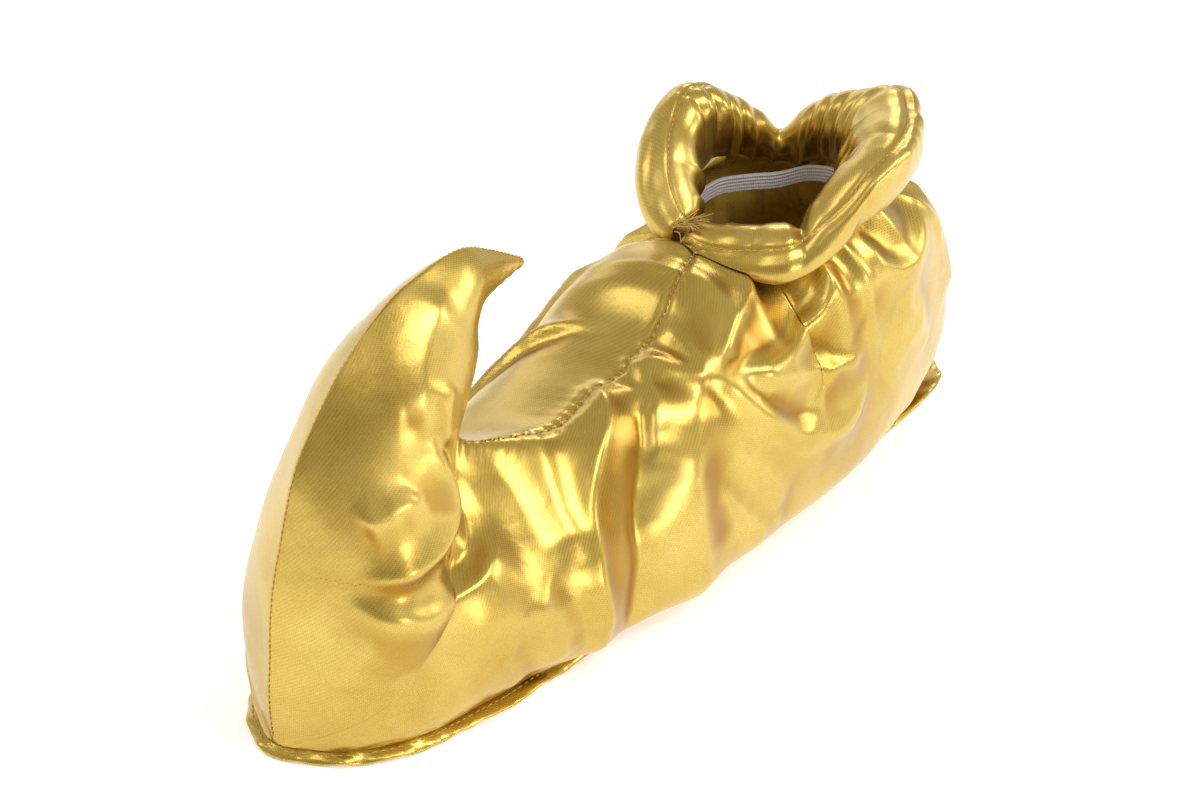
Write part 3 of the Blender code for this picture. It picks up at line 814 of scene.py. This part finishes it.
def build_upper(finish, lining_finish):
    at, down, plain, normals, halves, shades, seams, flat = upper_grid()
    left, right, vertices, grain = both_halves(*halves, seams, flat, 0)
    faces = grid_faces(left) + turned(grid_faces(right))
    first_lining = len(faces)
    # The lining keeps the columns of the skin, with fewer rows
    last = int(np.searchsorted(at, CAVITY_END)) + 1
    rows = np.unique(np.linspace(0, SKIN_ROWS, LINING_ROWS + 1).astype(int))
    kept = np.ix_(np.arange(last), rows)
    inner = lining_points(at[:last], down[rows], plain[kept], normals[kept])
    inner[:, 0, 2] = halves[0][:last, 0, 2]
    inner[:, -1, 2] = np.where(at[:last] <= TOE_BASE, HEM_HEIGHT, inner[:, -1, 2])
    shared = seams[kept]
    shared[-1] = False
    inner[shared, 1] = 0
    inner[..., 1] = np.maximum(inner[..., 1], 0)
    lining = both_halves(inner, inner, shared, flat[kept], len(vertices))
    lining_left, lining_right, lining_vertices, lining_grain = lining
    faces += turned(grid_faces(lining_left)) + grid_faces(lining_right)
    throat = int(np.searchsorted(at, THROAT, side="right")) + 1
    base = int(np.searchsorted(at, TOE_BASE, side="right")) + 1
    # The rims of the neck and hem join the two
    rims = ((left, lining_left, turned, list), (right, lining_right, list, turned))
    for outer, lined, at_neck, at_hem in rims:
        faces += at_neck(grid_faces(np.stack([outer[:throat, 0], lined[:throat, 0]], axis=1)))
        faces += at_hem(grid_faces(np.stack([outer[:base, -1], lined[:base, -1]], axis=1)))
    faces += [closing(lining_left, lining_right), closing(left, right)]
    places = swayed(np.concatenate([vertices, lining_vertices]))
    grain = np.concatenate([grain, lining_grain])
    piece = new_piece("upper_cloth", places, faces, finish, grain)
    piece.data.materials.append(lining_finish)
    # The painted shade of both halves of the skin; the lining has none
    shade = np.concatenate([shades[0].ravel(), shades[1][~seams]])
    shaded(piece, np.concatenate([shade, np.zeros(len(places) - len(shade))]))
    of_lining = np.zeros(len(piece.data.polygons), np.int32)
    of_lining[first_lining:] = 1
    piece.data.polygons.foreach_set("material_index", of_lining)
    return piece, at, swayed(halves[0]), normals


# The collar


def neck_table():
    """The neck's edge as angle, x, y and z, from the front seam to the heel, with its middle's x."""
    at = np.linspace(0, THROAT, 600)
    top_x, neck, top_z = along(TOP_X, at), along(NECK, at), along(TOP_Z, at)
    middle = (top_x[0] + top_x[-1]) / 2
    angle = np.arctan2(neck, top_x - middle)
    return angle[::-1], top_x[::-1], neck[::-1], top_z[::-1], middle


NECK_ANGLE, NECK_X, NECK_Y, NECK_Z, NECK_MIDDLE = neck_table()


def neck_edge(angle):
    """The neck's edge at angles (n,), and the direction outwards there."""
    folded = np.abs((angle + math.pi) % (2 * math.pi) - math.pi)
    side = np.where(np.sin(angle) >= 0, 1, -1)
    x = np.interp(folded, NECK_ANGLE, NECK_X)
    y = side * np.interp(folded, NECK_ANGLE, NECK_Y)
    z = np.interp(folded, NECK_ANGLE, NECK_Z)
    return np.stack([x, y, z], axis=1), unit(np.stack([x - NECK_MIDDLE, y, 0 * x], axis=1))


def lobe_at(column, degrees):
    """A point of the sections at the angles (n,), as (n, 2) in metres outside and above the edge."""
    values = np.array([getattr(lobe, column) for lobe in LOBES], float) * MM
    angles = np.array([lobe.angle for lobe in LOBES], float)
    i = np.clip(np.searchsorted(angles, degrees, side="right") - 1, 0, len(LOBES) - 2)
    share = ((degrees - angles[i]) / (angles[i + 1] - angles[i]))[:, None]
    before = values[np.maximum(i - 1, 0)]
    after = values[np.minimum(i + 2, len(LOBES) - 1)]
    return spline(before, values[i], values[i + 1], after, share)


def bowed(start, end, bulge, count):
    """A round bowed line from start to end, (n, count, 2), without its last point. bulge is how far
    it bows to its left, as a share of its length."""
    t = np.linspace(0, 1, count, endpoint=False)[None, :, None]
    run = (end - start)[:, None]
    left = np.stack([-run[..., 1], run[..., 0]], axis=-1)
    return start[:, None] + run * t + left * (1 - np.abs(2 * t - 1) ** 2.2) * bulge


# Pinches across the collar: the angle, how deep as a share of the section, the width in degrees, and
# the part of the section where it is deepest, from 0 at the root up the inside and down the outside.
PINCHES = [
    (50, 0.34, 2.2, 0.40),
    (27, 0.05, 2.5, 0.45),
    (104, 0.07, 4.0, 0.30),
    (152, 0.10, 3.0, 0.30),
    (163, 0.12, 1.8, 0.25),
    (176, 0.17, 2.4, 0.30),
    (187, 0.12, 1.8, 0.25),
    (196, 0.16, 2.4, 0.28),
    (233, 0.14, 2.2, 0.28),
    (243, 0.16, 2.4, 0.25),
    (254, 0.12, 2.0, 0.22),
    (268, 0.18, 2.6, 0.30),
    (284, 0.14, 2.4, 0.30),
    (322, 0.06, 4.0, 0.40),
    (72, 0.05, 3.0, 0.75),
    (120, 0.06, 3.0, 0.80),
]
PINCH_LENGTH = 0.17
PINCH_SLANT = 5.0
# Points round a section: up its inside, over its top, down its outside and back below
COLLAR_INNER, COLLAR_TOP, COLLAR_OUTER, COLLAR_UNDER = 16, 22, 16, 14
# How far those four bow outwards. The outside's is given by the angle.
INNER_BOW, TOP_BOW, UNDER_BOW = 0.20, 0.24, 0.04
OUTER_ANGLES = (50, 75, 170, 200, 250, 345)
OUTER_BOWS = (0.2, 0.07, 0.07, 0.15, 0.26, 0.26)
EDGE_COLUMN = COLLAR_INNER + COLLAR_TOP
STITCH_COLUMN = EDGE_COLUMN - 3
STITCH_GROOVE = 0.075
NOTCH_ANGLES = (-8, 345)
# Rounding of the sections, with the stitched edge kept sharp after the first few passes
ROUND_PASSES, EDGE_PASSES = 12, 4
# Gathers low on the inside and puckers along the stitches, as shares of the section
INSIDE_GATHERS, EDGE_PUCKERS = 0.34, 0.016
# The ends are slimmer, over some degrees
END_FULLNESS, END_DEGREES = 0.70, 6.0
# Where it lies over the cloth, from that far outside the neck's edge, it keeps a gap above it
OVERHANG, COLLAR_GAP = 1.2 * MM, 0.5 * MM
SHOULDER_HEIGHT = 80 * MM
# The turned-in ends, as rings with their size and how many millimetres deep they lie
END_RINGS = ((0.82, -0.3), (0.72, 5), (0.10, 7))
# Painted shade on the collar: up its inside face, most on the far side, in its pinches, along its stitch
# groove and in its turned-in ends
INNER_SHADE, PINCH_SHADE, GROOVE_SHADE, END_SHADE = 1.15, 1.2, 0.35, 0.8


def collar_sections(degrees):
    """The outline of the section at each angle, outside and above the neck's edge."""
    inner, crest, edge, belly = (lobe_at(c, degrees) for c in ("inner", "crest", "edge", "belly"))
    root = np.zeros((len(degrees), 2)) + np.array([1.5, -0.5]) * MM
    high = inner * 0.5 + crest * 0.5
    outer = np.interp(degrees, OUTER_ANGLES, OUTER_BOWS)[:, None, None]
    sides = (
        bowed(root, high, INNER_BOW, COLLAR_INNER),
        bowed(high, edge, TOP_BOW, COLLAR_TOP),
        bowed(edge, belly, outer, COLLAR_OUTER),
        bowed(belly, root, UNDER_BOW, COLLAR_UNDER),
    )
    shape = np.concatenate(sides, axis=1)
    sharp = slice(EDGE_COLUMN - 2, EDGE_COLUMN + 3)
    for k in range(ROUND_PASSES):
        soft = (np.roll(shape, 1, axis=1) + 2 * shape + np.roll(shape, -1, axis=1)) / 4
        if k >= EDGE_PASSES:
            soft[:, sharp] = shape[:, sharp]
        shape = soft
    return shape


def collar_grid():
    """The points of the collar, its angles and its painted shade."""
    degrees = np.linspace(*NOTCH_ANGLES, COLLAR_STEPS)
    angle = np.radians(degrees)
    shape = collar_sections(degrees)
    sides = shape.shape[1]
    place = np.arange(sides) / sides
    around = np.tile(degrees[:, None], (1, sides))
    size = np.ones_like(around)
    for spot, depth, width, deepest in PINCHES:
        across = around + PINCH_SLANT * (place - deepest) - spot
        reach = bell((place - deepest) / PINCH_LENGTH)
        size -= depth * bell(across / width, 1.2) * reach
        size += 0.22 * depth * bell((np.abs(across) - 2.6 * width) / (1.5 * width)) * reach
    groove = bell(np.arange(sides) - STITCH_COLUMN)
    size -= STITCH_GROOVE * groove
    phase = np.radians(around) * 6 + 2.2 * np.sin(np.radians(around) * 3 + 0.7)
    size -= INSIDE_GATHERS * bell((place - 0.12) / 0.14) * (np.abs(np.sin(phase)) ** 0.6 - 0.5)
    size -= EDGE_PUCKERS * bell((place - EDGE_COLUMN / sides - 0.03) / 0.05) * np.sin(phase * 3.3)
    ends = np.minimum(degrees - degrees[0], degrees[-1] - degrees)
    rounding = np.sqrt(np.clip(1 - (1 - np.clip(ends / END_DEGREES, 0, 1)) ** 2, 0, 1))
    size *= (END_FULLNESS + (1 - END_FULLNESS) * rounding)[:, None]
    centre = shape.mean(axis=1, keepdims=True)
    shape = centre + (shape - centre) * size[..., None]
    edge, outwards = neck_edge(angle)
    points = edge[:, None] + outwards[:, None] * shape[..., :1]
    points[..., 2] += shape[..., 1]
    # Painted shade: darker up the inside face and most on the far side, in the pinches and in the stitch
    # groove
    far_side = 0.45 + 0.55 * bell((degrees - 228) / 38, 4)[:, None]
    shade = np.clip(INNER_SHADE - place / 0.26, 0, 0.9) * far_side
    shade = shade + PINCH_SHADE * np.clip(0.97 - size, 0, 0.4) + GROOVE_SHADE * groove
    return points, angle, shade


def build_collar(finish, surface):
    points, angle, shade = collar_grid()
    edge, outwards = neck_edge(angle)
    reach = ((points - edge[:, None]) * outwards[:, None]).sum(axis=2)
    for i, k in np.argwhere(reach >= OVERHANG):
        x, y, z = points[i, k]
        hit = surface.ray_cast(Vector((x, y, 1)), Vector((0, 0, -1)))[0]
        if hit is not None and hit.z > SHOULDER_HEIGHT:
            points[i, k, 2] = max(z, hit.z + COLLAR_GAP)
    away = points - points.mean(axis=1, keepdims=True)
    lumps = Waves(21, 0.030).at(points) * 0.55 + Waves(22, 0.013).at(points) * 0.16
    points = points + unit(away) * lumps[..., None] * MM
    # Each end turns in, as the open end of a tube
    ends = []
    for ring, next_ring in ((points[0], points[6]), (points[-1], points[-7])):
        centre = ring.mean(axis=0)
        inwards = unit(next_ring.mean(axis=0) - centre)
        ends.append([centre + (ring - centre) * size + inwards * deep * MM for size, deep in END_RINGS])
    whole = np.concatenate([ends[0][::-1], points, ends[1]])
    grain = cloth_grain(run_along(whole.mean(axis=1)), run_along(points[len(points) // 3]))
    faces = tube_faces(numbered(whole.shape))
    piece = new_piece("collar_roll", whole.reshape(-1, 3), faces, finish, grain)
    # The turned-in ends are painted dark, as shade inside the tube
    dark = np.full((len(END_RINGS), points.shape[1]), END_SHADE)
    shaded(piece, np.concatenate([dark, shade, dark]).ravel())
    return piece, points


# The sole

SOLE_TOP = 4.0 * MM
FLANGE_THICK = 0.9 * MM
FLANGE_SHARES = (0.0, 0.25, 0.5, 0.75, 1.0)
FLANGE_FLOOR = 0.05 * MM
# The share of the flange's width where its stitches pull it down
SOLE_STITCH_SHARE = 0.25
# Its row of points, counted from the last
SOLE_STITCH_ROW = -6


def hem_outline():
    """The hem in plan, once round from the heel along the left side, evenly spaced."""
    at = np.linspace(0, TOE_BASE, 1200)
    left = np.stack([along(FOOT_X, at), along(HEM, at)], axis=1)
    whole = np.concatenate([left, (left * [1, -1])[::-1][1:]])
    run = run_along(whole)
    return sampled(whole, run, np.linspace(0, run[-1], HEM_STEPS, endpoint=False))


def build_sole(finish):
    outline = hem_outline()
    run = np.roll(outline, -2, axis=0) - np.roll(outline, 2, axis=0)
    outwards = unit(np.stack([-run[:, 1], run[:, 0]], axis=1))
    x, y = outline.T
    flat = np.concatenate([outline, np.zeros((HEM_STEPS, 1))], axis=1)
    ripple = Waves(31, 0.010).at(flat)
    slow = Waves(32, 0.035).at(flat)
    # The cut edges stand out most along the near side of the toe
    loose = bell((x - 0.095) / 0.034) * (y > 0)
    # They also stand up at the back of the heel, on the near side
    raised = bell((x + 0.168) / 0.020) * smooth((y + 0.004) / 0.01)
    width = (2.8 + 0.4 * slow + 0.3 * ripple + 2.8 * loose + 8.0 * raised) * MM
    drop = (2.4 - 1.2 * loose - 8.0 * raised) * MM
    lift = (0.45 * ripple + 0.2 * slow) * MM * (1 + 1.2 * loose + 0.8 * raised)
    rows = []

    def row(out, z, inset=0.0):
        plan = outline * (1 - inset) + outwards * np.broadcast_to(out, x.shape)[:, None]
        rows.append(np.concatenate([plan, np.broadcast_to(z, x.shape)[:, None]], axis=1))

    for inset in (0.96, 0.8, 0.6, 0.4, 0.2):
        row(0, 0, inset)
    row(-4.0 * MM, 0)
    row(-1.8 * MM, 0.1 * MM)
    row(-0.8 * MM, 0.8 * MM)
    for share in FLANGE_SHARES:
        z = SOLE_TOP - FLANGE_THICK - drop * share**1.2 + lift * share
        row(width * share, np.maximum(z, FLANGE_FLOOR))
    z = SOLE_TOP - 0.6 * FLANGE_THICK - drop + lift
    row(width * 1.05, np.maximum(z, FLANGE_FLOOR + 0.4 * FLANGE_THICK))
    for share in FLANGE_SHARES[::-1]:
        z = SOLE_TOP - drop * share**1.2 + lift * share - 0.4 * MM * bell((share - SOLE_STITCH_SHARE) / 0.12)
        row(width * share, np.maximum(z, FLANGE_FLOOR + FLANGE_THICK))
    row(-3.0 * MM, SOLE_TOP)
    for inset in (0.15, 0.5, 0.9):
        row(0, SOLE_TOP, inset)
    whole = np.stack(rows)
    flat = whole.reshape(-1, 3)
    faces = turned(tube_faces(numbered(whole.shape)))
    return new_piece("sole_cloth", flat, faces, finish, flat[:, :2]), whole[SOLE_STITCH_ROW]


# The elastic

ELASTIC_WIDTH = 6.4 * MM
ELASTIC_THICK = 1.0 * MM
ELASTIC_INSET = 2.4 * MM
# It is drawn straight across the back, that far from the neck's middle and at that angle
ELASTIC_CHORD = 24.6 * MM
ELASTIC_CHORD_ANGLE = math.radians(233)
ELASTIC_BLEND = 0.6 * MM
ELASTIC_CORDS = 5
ELASTIC_CORD_DEPTH = 0.16 * MM


def build_elastic(finish):
    angle = np.linspace(0, 2 * math.pi, ELASTIC_STEPS, endpoint=False)
    edge, outwards = neck_edge(angle)
    reach = np.linalg.norm(edge[:, :2] - [NECK_MIDDLE, 0], axis=1)
    middle = edge - outwards * reach[:, None]
    facing = np.cos(angle - ELASTIC_CHORD_ANGLE)
    chord = np.where(facing > 0.05, ELASTIC_CHORD / np.maximum(facing, 0.05), 1.0)
    both = np.exp((ELASTIC_INSET - reach) / ELASTIC_BLEND) + np.exp(-chord / ELASTIC_BLEND)
    reach = -np.log(both) * ELASTIC_BLEND
    top = NECK_Z[0] + 1.2 * MM + 0.25 * MM * np.sin(angle * 5)
    top = top + 5.0 * MM * smooth((math.radians(222) - angle) / math.radians(50))
    top = top - 5.0 * MM * smooth((math.radians(110) - angle) / math.radians(60))
    levels = np.linspace(0, 1, 6 * ELASTIC_CORDS + 1)
    swell = ELASTIC_CORD_DEPTH * (0.5 - 0.5 * np.cos(levels * ELASTIC_CORDS * 2 * math.pi))
    out = reach[:, None] + np.concatenate([-swell, np.full(len(levels), ELASTIC_THICK)])
    whole = middle[:, None] + outwards[:, None] * out[..., None]
    whole[..., 2] = top[:, None] - ELASTIC_WIDTH * np.concatenate([levels, levels[::-1]])
    ids = numbered(whole.shape)
    faces = grid_faces(np.concatenate([ids, ids[:1]]), closed=True)
    grain = cloth_grain(angle * 0.030, np.concatenate([levels, 2 - levels]) * ELASTIC_WIDTH)
    return new_piece("elastic_band", whole.reshape(-1, 3), faces, finish, grain)


# Stitches and threads

STITCH_RINGS, STITCH_SIDES = 6, 6
STITCH_LIFT = 0.1 * MM
STRANDS, STRAND_RINGS, STRAND_SIDES = 54, 12, 5
TUFT_PLACE = np.array([-43.5, -9.0, 111.5]) * MM
TUFT_AIM = unit(np.array([-0.55, 0.75, 0.3]))


def tube(path, up, thin, sides):
    """Rings of points round a path, with its radius at each of them."""
    across = np.cross(unit(np.gradient(path, axis=0)), up)
    turn = np.linspace(0, 2 * math.pi, sides, endpoint=False)[None, :, None]
    ring = unit(across)[:, None] * np.cos(turn) + up[:, None] * np.sin(turn)
    return path[:, None] + ring * np.reshape(thin, (-1, 1, 1))


def tubes_piece(name, tubes, finish):
    """One piece of many closed tubes."""
    faces = []
    first = 0
    for rings in tubes:
        ids = numbered(rings.shape, first)
        faces += tube_faces(ids)
        first += ids.size
    return new_piece(name, np.concatenate(tubes).reshape(-1, 3), faces, finish)


def stitch_row(name, line, normals, finish, pitch=2.2, length=1.9, radius=0.24):
    """One small arched thread after another along the line, with their sizes in millimetres."""
    run = run_along(line)
    arch = np.sin(np.linspace(0, math.pi, STITCH_RINGS))
    rise = STITCH_LIFT + radius * MM * 1.1 * (arch - 0.5)
    thin = radius * MM * (0.35 + 0.65 * np.sqrt(arch.clip(0, 1)))
    tubes = []
    for start in np.arange(pitch * MM * 0.3, run[-1] - length * MM, pitch * MM):
        where = start + length * MM * np.linspace(0, 1, STITCH_RINGS)
        up = unit(sampled(normals, run, where))
        tubes.append(tube(sampled(line, run, where) + up * rise[:, None], up, thin, STITCH_SIDES))
    return tubes_piece(name, tubes, finish)


def build_tuft(finish):
    """The frayed ends of thread at the collar's notch."""
    draw = np.random.default_rng(5)
    side = unit(np.cross(TUFT_AIM, [0, 0, 1.0]))
    t = np.linspace(0, 1, STRAND_RINGS)[:, None]
    tubes = []
    for strand in range(STRANDS):
        start = TUFT_PLACE + draw.normal(size=3) * np.array([1.3, 1.3, 0.9]) * MM
        heading = TUFT_AIM + side * draw.normal() * 0.35 + np.array([0, 0, draw.normal() * 0.25])
        reach = draw.uniform(4, 11) * MM
        curl = draw.normal(size=3) * 1.8 * MM
        path = start + unit(heading) * reach * t + curl * t**2 + np.array([0, 0, -1.5 * MM]) * t**3
        path += side * np.sin(t * draw.uniform(4, 9) + strand) * 0.5 * MM
        up = unit(np.cross(unit(np.gradient(path, axis=0)), side))
        tubes.append(tube(path, up, draw.uniform(0.16, 0.30) * MM, STRAND_SIDES))
    return tubes_piece("thread_tuft", tubes, finish)


# The studio

CAMERA_PLACE = Vector((0.930, 0.723, 0.750))
PHOTO_AIM = Vector((-0.0124, -0.1713, 0.0))
SHOE_AIM = Vector((0.010, 0.000, 0.066))
FIELD_OF_VIEW = 17.6
LIGHT_AIM = Vector((0, 0, 0.06))
# Name, place, width and height, and watts
LIGHTS = [
    ("key", (-0.20, 1.22, 1.68), (1.1, 0.5), 13),
    ("front", (1.3, 0.5, 1.7), (0.6, 0.5), 3.5),
    ("low", (-1.15, 1.05, 0.72), (0.45, 0.6), 4.5),
    ("window", (0.05, 1.60, 0.36), (0.40, 0.30), 3),
    ("rear", (-0.80, -1.26, 0.60), (1.0, 0.5), 1.4),
    ("side", (0.9, -1.3, 1.2), (0.6, 0.8), 4),
    ("back", (-1.5, -0.9, 1.3), (0.7, 0.5), 5),
]
# The room's brightness by how far a direction points up, and by how far it points away from the
# camera, each from 0 to 1, and how warm it gets as it darkens
ROOM_UP = [(0.0, 0.8), (0.5, 0.85), (0.62, 0.62), (0.8, 0.5), (1.0, 0.6)]
ROOM_AWAY = [(0.0, 0.6), (0.06, 0.68), (0.2, 0.86), (0.5, 0.96), (1.0, 1.0)]
UP_WARMTH, AWAY_WARMTH = 0.1, 0.22
AWAY = (-0.79, -0.61, 0)
FLOOR_REACH = 4.0
FLOOR_DEPTH = 0.2 * MM


def placed(name, data, place, turn):
    thing = bpy.data.objects.new(name, data)
    thing.location = place
    thing.rotation_mode = "QUATERNION"
    thing.rotation_quaternion = turn
    bpy.context.scene.collection.objects.link(thing)
    return thing


def build_camera():
    """The photograph's place and tilt, turned to the one shoe."""
    data = bpy.data.cameras.new("camera")
    data.sensor_fit = "HORIZONTAL"
    data.angle = math.radians(FIELD_OF_VIEW)
    ahead = (PHOTO_AIM - CAMERA_PLACE).normalized()
    turn = ahead.rotation_difference((SHOE_AIM - CAMERA_PLACE).normalized())
    turn = turn @ ahead.to_track_quat("-Z", "Y")
    bpy.context.scene.camera = placed("camera", data, CAMERA_PLACE, turn)


def build_lights():
    for name, place, size, power in LIGHTS:
        data = bpy.data.lights.new(name, "AREA")
        data.shape = "RECTANGLE"
        data.size, data.size_y = size
        data.energy = power
        placed(name, data, place, (LIGHT_AIM - Vector(place)).to_track_quat("-Z", "Y"))


def build_floor():
    mesh = bpy.data.meshes.new("floor")
    corners = [(-1, -1), (1, -1), (1, 1), (-1, 1)]
    places = [(x * FLOOR_REACH, y * FLOOR_REACH, -FLOOR_DEPTH) for x, y in corners]
    mesh.from_pydata(places, [], [(0, 1, 2, 3)])
    n = Nodes(bpy.data.materials.new("pale_floor"))
    n.shade(
        Base_Color=n.ramp(n.noise(n.place(), 220), FLOOR_GREYS),
        Roughness=0.9,
        Specular_IOR_Level=0.1,
        Emission_Color=(1, 1, 1, 1),
        Emission_Strength=0.50,
    )
    mesh.materials.append(n.owner)
    floor = bpy.data.objects.new("floor", mesh)
    bpy.context.scene.collection.objects.link(floor)


def build_world():
    """A pale room, darker behind the camera, so that the foil has something to reflect."""
    world = bpy.data.worlds.new("studio")
    bpy.context.scene.world = world
    n = Nodes(world)
    direction = n.new("TexCoord").outputs["Generated"]

    def facing(way, stops, warmth):
        dot = n.tree.nodes.new("ShaderNodeVectorMath")
        dot.operation = "DOT_PRODUCT"
        n.put(dot.inputs[0], direction)
        dot.inputs[1].default_value = way
        colours = [(spot, (v, v ** (1 + warmth), v ** (1 + 3 * warmth))) for spot, v in stops]
        return n.ramp(n.math("MULTIPLY_ADD", dot.outputs["Value"], 0.5, 0.5), colours)

    up = facing((0, 0, 1), ROOM_UP, UP_WARMTH)
    away = facing(AWAY, ROOM_AWAY, AWAY_WARMTH)
    background = n.tree.nodes["Background"]
    n.put(background.inputs["Color"], n.mixed(1.0, up, away, "MULTIPLY"))
    background.inputs["Strength"].default_value = 1.0


# The whole shoe

# The short row of stitches across the toe, as millimetres along X and up
TOE_STITCHES = [(167, 71), (155, 68.5), (140, 66), (126, 62)]


def build_shoe():
    gold = gold_lame("gold_lame_cloth")
    thread = thread_gold("gold_thread")
    white = white_elastic("elastic_white_rib")
    # The lining is the same cloth painted lighter and not metal, as painted light in the shaded inside
    lining = gold_lame("gold_lame_lining", 1.3, 0.0)
    upper, at, near, normals = build_upper(gold, lining)
    polygons = [p.vertices[:] for p in upper.data.polygons]
    surface = BVHTree.FromPolygons([v.co for v in upper.data.vertices], polygons)
    collar, roll = build_collar(gold, surface)
    sole, hem_line = build_sole(gold)
    elastic = build_elastic(white)
    pieces = [upper, collar, sole, elastic]
    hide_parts("upper")
    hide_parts("collar")
    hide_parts("sole")
    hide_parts("elastic")
    # The centre seam, from the throat over the toe to its base, and up the heel
    top, front = at > THROAT + 0.05, at > TOE_BASE + 0.05
    seam, up = (np.concatenate([grid[top, 0], grid[front, -1][::-1]]) for grid in (near, normals))
    pieces.append(stitch_row("centre_stitches", seam, up, thread))
    pieces.append(stitch_row("heel_stitches", near[0, 6:], normals[0, 6:], thread))
    closed = np.concatenate([hem_line, hem_line[:1]])
    up = np.tile([0.0, 0.0, 1.0], (len(closed), 1))
    pieces.append(stitch_row("sole_stitches", closed + up * 0.1 * MM, up, thread, 3.0, 2.0, 0.28))
    edge_line = roll[:, STITCH_COLUMN]
    edge_up = unit(edge_line - roll.mean(axis=1))
    pieces.append(stitch_row("collar_stitches", edge_line[6:-6], edge_up[6:-6], thread, 2.5, 1.8, 0.3))
    spots = [nearest_on(near, x, z) for x, z in through(TOE_STITCHES, 60)]
    spots = tuple(np.array(spots).T)
    pieces.append(stitch_row("toe_stitches", near[spots], normals[spots], thread, 1.6, 0.9, 0.14))
    pieces.append(build_tuft(thread))
    for piece in pieces:
        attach(piece, "root")


build_shoe()
build_camera()
build_world()
build_floor()
build_lights()
bpy.context.scene.view_settings.view_transform = "Standard"
